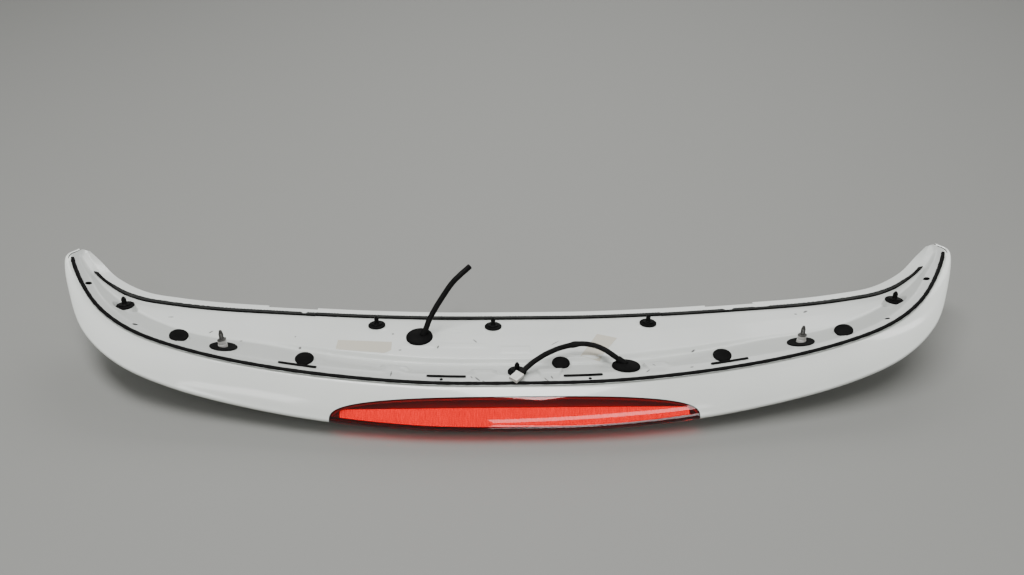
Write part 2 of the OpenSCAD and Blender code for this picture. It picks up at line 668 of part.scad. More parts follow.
// Cord tubes: points chosen by hand, swept by rings square to the route
hose_route = [[-121.5, 30, 46.5], [-119, 34.5, 51.5], [-116.5, 39.5, 56], [-113.5, 44.5, 60], [-110, 49.5, 64],
    [-106.5, 54, 68.5], [-102.5, 58.5, 73], [-98.5, 63, 77.5], [-94.5, 67, 82], [-90.5, 71, 86.5], [-86, 75, 91],
    [-81.5, 78.5, 95], [-76, 82.5, 98.5], [-71, 86.5, 101.5], [-65.5, 91, 104], [-60.5, 96, 106]];
harness_route = [[134.5, -44.5, 58], [128, -39.5, 60], [122, -34.5, 61.5], [115.5, -29.5, 62], [108.5, -25.5, 62.5],
    [100.5, -22.5, 62.5], [92.5, -21, 62.5], [84, -21.5, 62.5], [76, -23, 62], [68, -25.5, 62], [60.5, -28.5, 62],
    [53, -32.5, 62], [46, -37, 62], [39.5, -42, 62.5], [33.5, -47.5, 63], [27.5, -53.5, 63.5], [22, -59.5, 64],
    [17, -66, 64.5], [12, -72.5, 64.5], [7, -78.5, 64.5]];
tube_sides = 10;
module tube(route, d) {
    n = len(route);
    function dir(i) = unit(route[min(i + 1, n - 1)] - route[max(i - 1, 0)]);
    rings = [for (i = [0 : n - 1])
        let (w = dir(i), u = unit(cross(w, [0, 0, 1])), v = cross(w, u))
        [for (k = [0 : tube_sides - 1]) let (a = 360 * k / tube_sides) route[i] + (u * cos(a) + v * sin(a)) * d / 2]];
    loft(rings);
}
module washer_hose() { color("black") tube(hose_route, hose_d); }
module harness_tube() { color("black") tube(harness_route, harness_d); }
connector_size = [15, 12.5, 5];
connector_up = 4;
connector_at = [2, -84.5, crease_h + connector_up];
connector_turn = 50;
module connector() {
    color("ivory") translate(connector_at) rotate([0, 0, connector_turn])
        translate([-connector_size.x / 2, -connector_size.y / 2, 0]) cube(connector_size);
}

outer_skin();
underside_panel();
perimeter_seal();
front_foam(-foam_end_x, foam_break_left_x - foam_cut, foam_in + foam_shift);  // front_foam_left
front_foam(foam_break_left_x, foam_break_right_x, foam_in);  // front_foam_middle
front_foam(foam_break_right_x + foam_cut, foam_end_x, foam_in + foam_shift);  // front_foam_right
lamp_lens();
lamp_light_guide();
lamp_tray();
lamp_gasket();
lamp_board();
lamp_leds();
stud(-stud_x);  // stud_left
stud(stud_x);  // stud_right
stud_spacer(-stud_x);  // stud_spacer_left
stud_spacer(stud_x);  // stud_spacer_right
stud_pad(-stud_x);  // stud_pad_left
stud_pad(stud_x);  // stud_pad_right
push_nut(-stud_x);  // push_nut_left
push_nut(stud_x);  // push_nut_right
pin_clip(0);  // clip_wing_left
pin_clip(1);  // clip_front_left
pin_clip(2);  // clip_front_middle
pin_clip(3);  // clip_front_right
pin_clip(4);  // clip_wing_right
pin_clip(5);  // clip_rear
washer(0);  // washer_wing_left
washer(1);  // washer_front_left
washer(2);  // washer_front_middle
washer(3);  // washer_front_right
washer(4);  // washer_wing_right
washer(5);  // washer_rear
plug(0);  // plug_outer_left
plug(1);  // plug_inner_left
plug(2);  // plug_centre
plug(3);  // plug_inner_right
plug(4);  // plug_outer_right
hose_grommet();
harness_grommet();
washer_hose();
harness_tube();
connector();
felt(-outer_felt_x, outer_felt_in);  // felt_outer_left
felt(-inner_felt_x, inner_felt_in);  // felt_inner_left
felt(inner_felt_x, inner_felt_in);  // felt_inner_right
felt(outer_felt_x, outer_felt_in);  // felt_outer_right
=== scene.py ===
import math

import bpy
import numpy as np
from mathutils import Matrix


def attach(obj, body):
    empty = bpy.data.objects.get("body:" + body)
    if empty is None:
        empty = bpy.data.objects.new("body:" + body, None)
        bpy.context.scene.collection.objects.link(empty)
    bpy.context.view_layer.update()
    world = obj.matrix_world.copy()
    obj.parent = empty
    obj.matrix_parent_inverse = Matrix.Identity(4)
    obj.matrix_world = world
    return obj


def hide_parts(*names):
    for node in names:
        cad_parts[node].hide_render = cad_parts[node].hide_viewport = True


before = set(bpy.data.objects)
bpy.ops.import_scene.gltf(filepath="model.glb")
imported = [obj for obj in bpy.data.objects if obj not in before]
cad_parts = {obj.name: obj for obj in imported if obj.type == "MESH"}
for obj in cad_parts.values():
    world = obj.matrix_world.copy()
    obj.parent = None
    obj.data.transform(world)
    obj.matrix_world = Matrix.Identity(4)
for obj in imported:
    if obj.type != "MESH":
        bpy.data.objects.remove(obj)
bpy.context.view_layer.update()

# Painted outer skin
# A long tray moulded in plastic and painted gloss white, its ends swept forward and up.
# It lies on its top face here, and every other piece is glued, clipped or screwed to it.
MM = 0.001
WIDTH, DEPTH, BLADE, TIP = 1264, 271, 227.5, 113
NOSE, CREASE, LIP, BAND = 22, 58, 26, 42.5
BAND_SWELL, SKIN_WALL, PANEL_WALL, GLUE = 2.2, 3, 2.5, 0.3
REAR_HEM, FRONT_HEM, LIP_OVER = 7, 12, 5
REAR_X = [0, 0.19, 0.38, 0.554, 0.696, 0.807, 0.894, 0.956, 1, 0.985]
REAR_Y = [0, 0.01, 0.057, 0.131, 0.209, 0.31, 0.472, 0.7, 0.92, 1]
REAR_Z = [0, 0.01, 0.065, 0.16, 0.31, 0.48, 0.665, 0.855, 0.985, 1]
FRONT_X = [0, 0.177, 0.356, 0.522, 0.657, 0.756, 0.831, 0.891, 0.934, 0.958]
DEPTH_K = [1, 0.988, 0.936, 0.853, 0.763, 0.655, 0.464, 0.229, 0.04, -0.014]
FRONT_Z = [0, 0.01, 0.06, 0.14, 0.22, 0.3, 0.43, 0.64, 0.87, 0.98]
BAND_W = [1, 0.99, 0.98, 0.94, 0.94, 0.91, 0.73, 0.37, 0.16, 0.13]
CREASE_Z = [0, 0.01, 0.06, 0.16, 0.315, 0.465, 0.64, 0.825, 0.965, 1]
BELLY_Z = [0, 0.008, 0.042, 0.126, 0.25, 0.39, 0.53, 0.69, 0.85, 0.93]
STATIONS = 9


def mix(a, b, f):
    return a + (b - a) * f


def along(table, t, odd=False):
    """Smooth value of a table of stations; odd tables change sign at the middle."""
    a = min(abs(t), STATIONS)
    i = min(int(a), STATIONS - 1)
    f = a - i
    p0 = (-table[1] if odd else table[1]) if i == 0 else table[i - 1]
    p1, p2 = table[i], table[i + 1]
    p3 = 2 * table[-1] - table[-2] if i + 2 > STATIONS else table[i + 2]
    v = (2 * p1 + (p2 - p0) * f + (2 * p0 - 5 * p1 + 4 * p2 - p3) * f * f + (3 * p1 - p0 - 3 * p2 + p3) * f ** 3) / 2
    return -v if odd and t < 0 else v


def rear_at(t):
    return np.array([WIDTH / 2 * along(REAR_X, t, True), DEPTH * along(REAR_Y, t) - DEPTH / 2])


def front_at(t):
    return np.array([WIDTH / 2 * along(FRONT_X, t, True), rear_at(t)[1] + BLADE * along(DEPTH_K, t)])


def chord(t):
    return float(np.linalg.norm(front_at(t) - rear_at(t)))


def band(t):
    return BAND * along(BAND_W, t)


def nose_z(t):
    return mix(NOSE, TIP, along(REAR_Z, t))


def crease_z(t):
    return mix(CREASE, TIP, along(CREASE_Z, t))


def lip_z(t):
    return mix(LIP, TIP, along(FRONT_Z, t))


def belly_z(t):
    return TIP * 0.86 * along(BELLY_Z, t)


def edge_w(t, width):
    return min(width, (chord(t) - band(t)) * 0.3)


def in_section(t, points):
    """Points (distance in from the nose, height) of the section at station t, in space."""
    r, f = rear_at(t), front_at(t)
    d = (f - r) / np.linalg.norm(f - r)
    p = np.asarray(points, float)
    return np.column_stack([r[0] + d[0] * p[:, 0], r[1] + d[1] * p[:, 0], p[:, 1]])


def drawn_through(points, steps):
    """Smooth line through points, each stretch cut into its number of steps; a stretch of 1 stays straight."""
    p = np.asarray(points, float)
    h = np.maximum(np.linalg.norm(np.diff(p, axis=0), axis=1), 1e-6)
    slope = np.diff(p, axis=0) / h[:, None]
    out = [p[0]]
    for i, n in enumerate(steps):
        if n > 1:
            def lead(k):
                if k <= 0 or k >= len(p) - 1 or steps[k - 1] == 1 or steps[k] == 1:
                    return slope[i]
                return (slope[k - 1] * h[k] + slope[k] * h[k - 1]) / (h[k] + h[k - 1])
            m0, m1 = lead(i) * h[i], lead(i + 1) * h[i]
            for k in range(1, n):
                f = k / n
                out.append((2 * f ** 3 - 3 * f * f + 1) * p[i] + (f ** 3 - 2 * f * f + f) * m0
                           + (3 * f * f - 2 * f ** 3) * p[i + 1] + (f ** 3 - f * f) * m1)
        out.append(p[i + 1])
    return np.array(out)


def moved_in(path, t):
    """Line moved to its left by a wall's thickness, with mitred corners."""
    p = np.asarray(path, float)
    d = np.diff(p, axis=0)
    d /= np.maximum(np.linalg.norm(d, axis=1), 1e-9)[:, None]
    a = np.column_stack([-d[:, 1], d[:, 0]])
    out = []
    for i in range(len(p)):
        u, v = a[max(i - 1, 0)], a[min(i, len(a) - 1)]
        out.append(p[i] + (u + v) / (1 + u @ v) * t)
    return np.array(out)


FACE_TILT = math.atan2(CREASE - NOSE, BAND)
FACE_OUT = np.array([-math.sin(FACE_TILT), math.cos(FACE_TILT)])


def skin_corners(t):
    b, zc, zt, zb = band(t), crease_z(t) - PANEL_WALL - GLUE, nose_z(t), belly_z(t)
    c = chord(t)
    sl, zl = c - min(LIP_OVER, c * 0.1), lip_z(t) - PANEL_WALL - GLUE
    foot = mix(zl, zb, 0.4)
    pts = [[b + edge_w(t, REAR_HEM), zc], [b, zc]]
    for p, q in ((0.75, 0.75), (0.5, 1), (0.25, 0.75), (0.1, 0.35)):
        pts.append(np.array([b * p, mix(zt, zc, p)]) + FACE_OUT * BAND_SWELL * q)
    pts.append([0, zt])
    for p, q in ((0.025, 0.62), (0.065, 0.3), (0.125, 0.11), (0.22, 0.02), (0.34, 0), (0.55, 0), (0.76, 0)):
        pts.append([sl * p, mix(zb, zt, q)])
    for p, q in ((0.88, 0.12), (0.95, 0.42), (0.985, 0.75)):
        pts.append([sl * p, mix(zb, foot, q)])
    return pts + [[sl, foot], [sl, zl], [sl - edge_w(t, FRONT_HEM), zl]]


SKIN_STEPS = [1] + [3] * 4 + [4, 4, 4, 4, 4, 4, 4, 4, 4, 3, 3, 3, 1, 1]


def soft_corner(line, i, r):
    """Line with a small radius in place of its corner i."""
    a, b, c = line[i - 1], line[i], line[i + 1]
    u, v = (a - b) / np.linalg.norm(a - b), (c - b) / np.linalg.norm(c - b)
    return np.vstack([line[:i], b + u * r, b + u * r * 0.35 + v * r * 0.35, b + v * r, line[i + 1:]])


def mesh_piece(name, verts, faces, smooth=40):
    mesh = bpy.data.meshes.new(name)
    mesh.from_pydata([tuple(v) for v in np.asarray(verts, float) * MM], [], faces)
    mesh.validate()
    mesh.update()
    mesh.shade_smooth()
    mesh.set_sharp_from_angle(angle=math.radians(smooth))
    piece = bpy.data.objects.new(name, mesh)
    bpy.context.scene.collection.objects.link(piece)
    return piece


def lofted(name, rings, smooth=40, ends=True):
    """Closed piece through rings of the same number of points, capped at both ends."""
    rings = np.asarray(rings, float)
    n, m = rings.shape[:2]
    faces = [(i * m + j, (i + 1) * m + j, (i + 1) * m + (j + 1) % m, i * m + (j + 1) % m)
             for i in range(n - 1) for j in range(m)]
    if ends:
        faces += [tuple(range(m)), tuple(range((n - 1) * m, n * m))[::-1]]
    return mesh_piece(name, rings.reshape(-1, 3), faces, smooth)


def cut(piece, tool, how="DIFFERENCE", smooth=40):
    """Cuts a tool out of a piece, or keeps what both share, and drops the tool; a second finish goes on the cut."""
    if len(piece.data.materials) > 1:
        tool.data.polygons.foreach_set("material_index", [1] * len(tool.data.polygons))
    m = piece.modifiers.new("cut", "BOOLEAN")
    m.operation, m.object, m.solver = how, tool, "EXACT"
    bpy.context.view_layer.update()
    made = bpy.data.meshes.new_from_object(piece.evaluated_get(bpy.context.evaluated_depsgraph_get()))
    piece.modifiers.clear()
    old, piece.data = piece.data, made
    bpy.data.meshes.remove(old)
    bpy.data.objects.remove(tool)
    made.shade_smooth()
    made.set_sharp_from_angle(angle=math.radians(smooth))
    return piece


LAMP_L, LAMP_H, LAMP_RISE, LAMP_REACH, LENS_GAP = 462, 54, 14, 14, 0.8


def lamp_prism(grow, deep, out=40):
    """Block of the lamp's outline, square to the rear band."""
    rings = []
    for d in (-deep, out):
        ring = []
        for k in range(160):
            a = 2 * math.pi * k / 160
            c, s = math.cos(a), math.sin(a)
            x = (LAMP_L / 2 + grow) * math.copysign(abs(c) ** (2 / 3.2), c)
            e = LAMP_RISE + (LAMP_H / 2 + grow) * math.copysign(abs(s) ** (2 / 3.2), s)
            ring.append([x, -DEPTH / 2 + e * math.cos(FACE_TILT) + d * FACE_OUT[0],
                         NOSE + e * math.sin(FACE_TILT) + d * FACE_OUT[1]])
        rings.append(ring[::-1])
    return lofted("lamp_prism", rings)


def paint(name, colour, rough, coat, grain=2600, peel=0.04, dirt=0.05, seed=0.0):
    """Sprayed finish: faint orange peel, slow changes of tone, fine dust and a clear coat."""
    mat = bpy.data.materials.new(name)
    mat.use_nodes = True
    nt = mat.node_tree
    n, link = nt.nodes, nt.links.new
    bsdf = n["Principled BSDF"]
    where = n.new("ShaderNodeTexCoord").outputs["Object"]

    def noise(scale, detail=3, rough_=0.5, w=0.0):
        t = n.new("ShaderNodeTexNoise")
        t.noise_dimensions = "4D"
        t.inputs["Scale"].default_value, t.inputs["Detail"].default_value = scale, detail
        t.inputs["Roughness"].default_value, t.inputs["W"].default_value = rough_, seed + w
        link(where, t.inputs["Vector"])
        return t.outputs["Fac"]

    def span(value, lo, hi, to_lo=0.0, to_hi=1.0):
        r = n.new("ShaderNodeMapRange")
        for k, v in (("From Min", lo), ("From Max", hi), ("To Min", to_lo), ("To Max", to_hi)):
            r.inputs[k].default_value = v
        link(value, r.inputs["Value"])
        return r.outputs["Result"]

    def blend(fac, a, b, mode="MIX"):
        m = n.new("ShaderNodeMix")
        m.data_type, m.blend_type = "RGBA", mode
        for sock, v in ((m.inputs[0], fac), (m.inputs[6], a), (m.inputs[7], b)):
            if isinstance(v, (tuple, float, int)):
                sock.default_value = v if isinstance(v, (float, int)) else (*v, 1)
            else:
                link(v, sock)
        return m.outputs[2]

    tone = span(noise(9, 4), 0.35, 0.65)
    base = blend(tone, tuple(c * 0.965 for c in colour), tuple(min(c * 1.02, 1) for c in colour))
    dust = span(noise(180, 6, 0.62, 3.1), 0.6, 0.74, 0.0, dirt)
    base = blend(dust, base, (0.32, 0.31, 0.28))
    link(base, bsdf.inputs["Base Color"])
    link(span(noise(34, 5, 0.6, 1.7), 0.3, 0.7, rough * 0.82, rough * 1.25), bsdf.inputs["Roughness"])
    bsdf.inputs["Coat Weight"].default_value = coat
    bsdf.inputs["Coat Roughness"].default_value = 0.06
    bump = n.new("ShaderNodeBump")
    bump.inputs["Strength"].default_value, bump.inputs["Distance"].default_value = peel, 0.0004
    link(noise(grain, 2), bump.inputs["Height"])
    link(bump.outputs["Normal"], bsdf.inputs["Normal"])
    return mat, n, link, bsdf, noise, span, blend, base, where


def dress(piece, mat, slot="", *nodes):
    """Gives a new piece its finish and its body, and hides the CAD nodes that it stands for."""
    if not piece.data.materials:
        piece.data.materials.append(mat)
    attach(piece, "root")
    if nodes:
        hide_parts(*nodes)
    return piece


skin_rings = []
for t in np.linspace(-STATIONS, STATIONS, 217):
    corners = skin_corners(t)
    outer = drawn_through(corners, SKIN_STEPS)
    inner = drawn_through(moved_in(corners, SKIN_WALL), SKIN_STEPS)
    outer = soft_corner(outer, 1, 1.1)
    skin_rings.append(in_section(t, np.vstack([outer, inner[::-1]])))
white_paint = paint("white_paint", (0.86, 0.89, 0.845), 0.2, 0.7)[0]
# Near-black for the skin's unpainted inside and the walls of cuts: partly the plastic's own colour, partly painted
# shade of the closed cavity seen through the holes and round the lamp.
bare_plastic_and_shade = paint("bare_plastic_and_shade", (0.018, 0.018, 0.018), 0.55, 0.0, 1100, 0.3, 0.1, 21.0)[0]
skin = lofted("painted_skin", skin_rings)
skin.data.materials.append(white_paint)
skin.data.materials.append(bare_plastic_and_shade)
around = len(skin_rings[0])
for i, face in enumerate(skin.data.polygons):
    face.material_index = int(i < (len(skin_rings) - 1) * around and i % around >= len(outer))
cut(skin, lamp_prism(LENS_GAP, LAMP_REACH))
dress(skin, white_paint, "white_paint", "outer_skin")

# Underside panel
# One thin moulding glued under the skin's edges, sprayed in a duller white, with painted shade laid over its rear wall
# and flange.
# A recess runs along it; round bosses carry the clips, plugs, grommets and studs.
from mathutils.kdtree import KDTree
RECESS, STEP_UP, REAR_FLANGE, FRONT_FLANGE = 10, 7, 15, 24
REAR_FLANGE_K = [1, 1, 0.95, 0.66, 0.6, 0.7, 0.9, 1, 1, 1]
RECESS_K = [1, 1, 1, 1.05, 1.1, 0.75, 0.35, 0.15, 0.05, 0]
STEP_K = [1, 1, 0.9, 0.25, 0.1, 0, 0, 0, 0, 0]
VALLEY_K = [0.32, 0.325, 0.36, 0.43, 0.42, 0.45, 0.5, 0.5, 0.5, 0.5]
BOSS_UP, BOSS_T = 1, 4.5
TOP_SOFT, UNDER_SOFT, EDGE_SOFT = 1.1, 1.8, 0.5
COARSE, FINE, ACROSS = 4.5, 1.5, 104


def panel_line(t):
    b, w = band(t), chord(t) - band(t)
    zc, zl, vs = crease_z(t), lip_z(t), along(VALLEY_K, t)
    a, v = b + edge_w(t, REAR_FLANGE * along(REAR_FLANGE_K, t)), b + w * vs
    zv = mix(zc, zl, vs) - RECESS * along(RECESS_K, t)
    zs = zv + STEP_UP * along(STEP_K, t)
    shelf = b + w - edge_w(t, FRONT_FLANGE)
    pts = [(b, zc), (a, zc), (mix(a, v, 0.12), mix(zc, zv, 0.03)), (mix(a, v, 0.9), mix(zc, zv, 0.92)), (v, zv),
           (mix(v, shelf, 0.06), zs), (mix(v, shelf, 0.6), mix(zs, zl, 0.5)), (shelf, mix(zl, zs, 0.06)), (b + w, zl)]
    return np.array(pts).T


def panel_height(t, s, soft=0.0):
    """Height of the panel at distances s in from the nose, its corners rounded over a little way."""
    x, z = panel_line(t)
    if not soft:
        return np.interp(s, x, z)
    s = np.asarray(s, float)
    r = np.minimum(soft, np.minimum(s - x[0], x[-1] - s))
    return sum(np.interp(s + r * k, x, z) * w for k, w in ((-1, 1), (-0.5, 2), (0, 2), (0.5, 2), (1, 1))) / 8


def from_nose(t, inward):
    return chord(t) + inward if inward < 0 else band(t) + inward


def panel_pt(t, s):
    return in_section(t, [[s, float(panel_height(t, s))]])[0]


def station_at(x, inward):
    lo, hi = -STATIONS, STATIONS
    for _ in range(30):
        m = (lo + hi) / 2
        if in_section(m, [[from_nose(m, inward), 0]])[0][0] < x:
            lo = m
        else:
            hi = m
    return (lo + hi) / 2


def seat(x, inward, way="square", up=0.0):
    """Origin and turn of a seat: square to the panel, level from front to back, or leaning by an angle."""
    t = station_at(x, inward)
    s = from_nose(t, inward)
    n = np.cross(panel_pt(t + 0.1, s) - panel_pt(t - 0.1, s), panel_pt(t, s + 9) - panel_pt(t, s - 9))
    if way == "level":
        n = np.array([n[0], 0, n[2]])
    elif way != "square":
        n = np.array([0, math.sin(math.radians(way)), math.cos(math.radians(way))])
    n /= np.linalg.norm(n)
    turn, tilt = math.atan2(n[1], n[0]), math.acos(n[2])
    ct, st, c, s_ = math.cos(tilt), math.sin(tilt), math.cos(turn), math.sin(turn)
    rz = np.array([[c, -s_, 0], [s_, c, 0], [0, 0, 1]])
    ry = np.array([[ct, 0, st], [0, 1, 0], [-st, 0, ct]])
    return panel_pt(t, s) + [0, 0, up], rz @ ry @ rz.T


def up_to(x, inward, below):
    """Lift that brings a seat to a set depth below the crease."""
    t = station_at(x, inward)
    return crease_z(t) - below - panel_pt(t, from_nose(t, inward))[2]


# A place is x and the distance in from the crease, or with a minus sign from the front edge
LEAN, CLIP_UP = 12, 1.0
WING_X, CLIP_X, CLIP_IN = 532, 193, -40.5
wing_t = station_at(WING_X, CLIP_IN)
WING_IN = -0.62 * (chord(wing_t) - band(wing_t))
CLIPS = [seat(x, i, LEAN, CLIP_UP) for x, i in (
    (-WING_X, WING_IN), (-CLIP_X, CLIP_IN), (-28, CLIP_IN), (CLIP_X, CLIP_IN), (WING_X, WING_IN), (3, 25.7))]
OUTER_X, OUTER_IN, INNER_X, INNER_IN = 442, 26.5, 272, 29
outer_up, inner_up = up_to(OUTER_X, OUTER_IN, 4.5), up_to(INNER_X, INNER_IN, 2)
PLUGS = [seat(x, i, "level", u) for x, i, u in (
    (-OUTER_X, OUTER_IN, outer_up), (-INNER_X, INNER_IN, inner_up), (62, 56, 3.5),
    (INNER_X, INNER_IN, inner_up), (OUTER_X, OUTER_IN, outer_up))]
GROMMETS = [seat(-130, -70, 3), seat(145, 32.5, 19)]
STUD_AT = [(-381.5, 28), (381.5, 28)]
STUDS = [seat(*p, LEAN) for p in STUD_AT]
STUD_PADS = [seat(*p) for p in STUD_AT]
# Place, radius that is level, width of the blend around it, height of the level above the seat, bore
level_spots = ([(p, 12.6, 1.3, 0, 9.4) for p in CLIPS]
               + [(p, 12.6, 1.3, 0, 17.4) for p in PLUGS]
               + [(p, 18.9, 2.2, BOSS_UP, 28.4) for p in GROMMETS]
               + [(p, 17.8, 1.6, BOSS_UP, 0) for p in STUD_PADS]
               + [(p, 6.8, 0.8, 0, 6.4) for p in STUDS])
# Sloping buttresses that bridge the rear wall of the recess: middle, and where each starts
GUSSETS = [(-155, 15), (-40, 11), (45, 11), (184, 13)]
GUSSET_L, GUSSET_UP = 20, 5.5
# Raised pads: middle, half sizes and height
PADS = [(-129, 14, 20, 17, 0.9), (2, -8, 21, 9, 0.7), (-266, -26, 19, 19, 0.6), (266, -26, 19, 19, 0.6)]


def ease(f):
    f = np.clip(f, 0, 1)
    return f * f * (3 - 2 * f)


def shaped(points, inward, bottom):
    """Moves points of the panel for its bosses, spot faces, gussets and raised pads."""
    p = points.copy()
    for c, start in GUSSETS:
        half = mix(10, 17, np.clip((inward - start) / GUSSET_L, 0, 1))
        side = ease((half + 0.7 - np.abs(p[:, 0] - c)) / 1.4)
        ramp = np.interp(inward, [start, start + GUSSET_L, start + GUSSET_L + 2.5], [0, GUSSET_UP, 0])
        p[:, 2] += side * ramp * (0.85 if bottom else 1)
    if not bottom:
        ring = np.hypot(p[:, 0] + 79.5, p[:, 1] - 38.5)
        p[:, 2] += 0.5 * ease(1 - np.abs(ring - 6.6) / 1.2)
        block = np.maximum(np.abs(p[:, 0] + 71) - 31, np.abs(p[:, 1] - 3.4) - 6)
        p[:, 2] += 0.5 * ease(-block / 1.2)
        for x, y, wide, deep, up in PADS:
            pad = np.maximum(np.abs(p[:, 0] - x) - wide, np.abs(p[:, 1] - y) - deep)
            p[:, 2] += up * ease(-pad / 1.8)
    for (o, m), r, blend_w, up, _ in level_spots:
        q = (p - o) @ m
        k = ease((r + blend_w - np.hypot(q[:, 0], q[:, 1])) / blend_w)
        near = np.abs(q[:, 2]) < 25
        q[:, 2] += np.where(near, (up - (BOSS_T + BOSS_UP if bottom else 0) - q[:, 2]) * k, 0)
        p = q @ m.T + o
    return p


def close_stations():
    """Stations of the panel's fine mesh, closest where a boss or gusset lies."""
    ts, t = [], -float(STATIONS)
    while t < STATIONS:
        ts.append(t)
        here = panel_pt(t, from_nose(t, 40)) if abs(t) < 8.6 else None
        step = COARSE
        if here is not None:
            for (o, _), r, blend_w, _, _ in level_spots:
                if np.hypot(*(here - o)[:2]) < r + blend_w + 32 and abs(here[0] - o[0]) < r + blend_w + 16:
                    step = FINE
        s = from_nose(t, 30)
        speed = np.linalg.norm(panel_pt(min(t + 0.02, 9), s) - panel_pt(min(t, 8.98), s)) / 0.02
        t += step / max(speed, 30)
    return ts + [float(STATIONS)]


def painted_shade_share(t, inward):
    """Painted shade as the share of colour kept: full in the recess, less on its rear wall and least along the flange,
    the left flange darkest.
    """
    valley = (chord(t) - band(t)) * along(VALLEY_K, t)
    wall = ease((valley * 0.99 - inward) / 4)
    rim = ease((REAR_FLANGE + 2 - inward) / 5)
    return 1 - 0.2 * wall - (0.11 if t < -0.6 else 0.03) * rim


across_share = np.linspace(0, 1, ACROSS)
panel_rings, shade_samples = [], []
for t in close_stations():
    b, w = band(t), chord(t) - band(t)
    s = b + w * across_share
    top = in_section(t, np.column_stack([s, panel_height(t, s, TOP_SOFT)]))
    top = shaped(top, s - b, False)
    shade_samples += list(zip(top[::2], painted_shade_share(t, s - b)[::2]))
    s2 = s[::-4]
    z2 = panel_height(t, s2, UNDER_SOFT)
    grade = np.gradient(z2, s2)
    low = in_section(t, np.column_stack([s2, z2 - PANEL_WALL * np.minimum(np.sqrt(1 + grade ** 2), 1.25)]))
    low = shaped(low, s2 - b, True)
    rim_rear = in_section(t, [[b, crease_z(t) - EDGE_SOFT]])
    rim_front = in_section(t, [[b + w, lip_z(t) - EDGE_SOFT]])
    top[0] += (top[1] - top[0]) / np.linalg.norm(top[1] - top[0]) * EDGE_SOFT
    top[-1] += (top[-2] - top[-1]) / np.linalg.norm(top[-2] - top[-1]) * EDGE_SOFT
    panel_rings.append(np.vstack([rim_rear, top, rim_front, low])[::-1])
panel = lofted("painted_panel", panel_rings, 55)


def round_bar(o, m, d, z0, z1, sides=48, sx=1.0):
    """Rings of a round or oval bar on a seat's own axis."""
    a = np.linspace(0, 2 * math.pi, sides, endpoint=False)
    rings = [[o + m @ np.array([d / 2 * math.cos(k) * sx, d / 2 * math.sin(k), z]) for k in a] for z in (z0, z1)]
    return np.array(rings)


def ring_faces(n, m, o=0):
    """Faces of a closed piece through n rings of m points each, the first of them point o."""
    walls = [(o + i * m + j, o + i * m + (j + 1) % m, o + (i + 1) * m + (j + 1) % m, o + (i + 1) * m + j)
             for i in range(n - 1) for j in range(m)]
    return walls + [tuple(range(o, o + m))[::-1], tuple(range(o + (n - 1) * m, o + n * m))]


def bars(name, list_of_rings):
    """One mesh of several closed bars, each given by its rings."""
    verts, faces = [], []
    for rings in list_of_rings:
        faces += ring_faces(*rings.shape[:2], len(verts))
        verts += list(rings.reshape(-1, 3))
    return mesh_piece(name, verts, faces)


# Bores through the bosses, the small vent holes along the rear flange and the two notches in the lip
# A vent hole is x, distance in, length and width
HOLES = [(-583, 10.5, 9, 6), (579, 13, 9, 6.5), (-500, 15, 7.5, 3.4), (502, 13.7, 7.5, 3.4),
         (-93, 10.2, 4.4, 4.4), (95.4, 9.6, 4.4, 4.4)]
NOTCH_X, NOTCH_L, NOTCH_IN = 319, 70, 4
tools = [round_bar(o, m, bore, -20, 20) for (o, m), _, _, _, bore in level_spots if bore]
for x, inward, long, wide in HOLES:
    o, m = seat(x, inward)
    tools.append(round_bar(o, m, wide, -9, 9, 20, long / wide))
notches = []
for side in (-1, 1):
    t = station_at(side * NOTCH_X, -NOTCH_IN)
    f, d = front_at(t), front_at(t + 0.1) - front_at(t - 0.1)
    d /= np.linalg.norm(d)
    n = np.array([-d[1], d[0]])
    z = lip_z(t)
    quad = [f + d * along_it * NOTCH_L / 2 + n * into
            for along_it, into in ((-1, -NOTCH_IN), (1, -NOTCH_IN), (1, 30), (-1, 30))]
    notches.append(np.array([[[*q, z - 20] for q in quad], [[*q, z + 20] for q in quad]]))
mat, n, link, bsdf, noise, span, blend, base, where = paint(
    "panel_paint", (0.742, 0.767, 0.735), 0.34, 0.25, 1500, 0.10, 0.10, 4.0)
# Painted shade: the base colour is multiplied by the share kept at each point, darker on the rear wall and flange.
painted_shade = n.new("ShaderNodeAttribute")
painted_shade.attribute_name = "painted_shade"
base = blend(1.0, base, painted_shade.outputs["Fac"], "MULTIPLY")
link(base, bsdf.inputs["Base Color"])
kit = (mat, n, link, bsdf, noise, span, blend, base, where)
panel_paint = mat
panel.data.materials.append(panel_paint)
cut(panel, bars("notches", notches), smooth=55)
panel.data.materials.append(bare_plastic_and_shade)
cut(panel, bars("bores", tools), smooth=55)
# Each point of the panel takes the painted shade share of its nearest sample.
near = KDTree(len(shade_samples))
for i, (place, _) in enumerate(shade_samples):
    near.insert(place * MM, i)
near.balance()
tone = panel.data.attributes.new("painted_shade", "FLOAT", "POINT")
tone.data.foreach_set("value", [shade_samples[near.find(v.co)[1]][1] for v in panel.data.vertices])


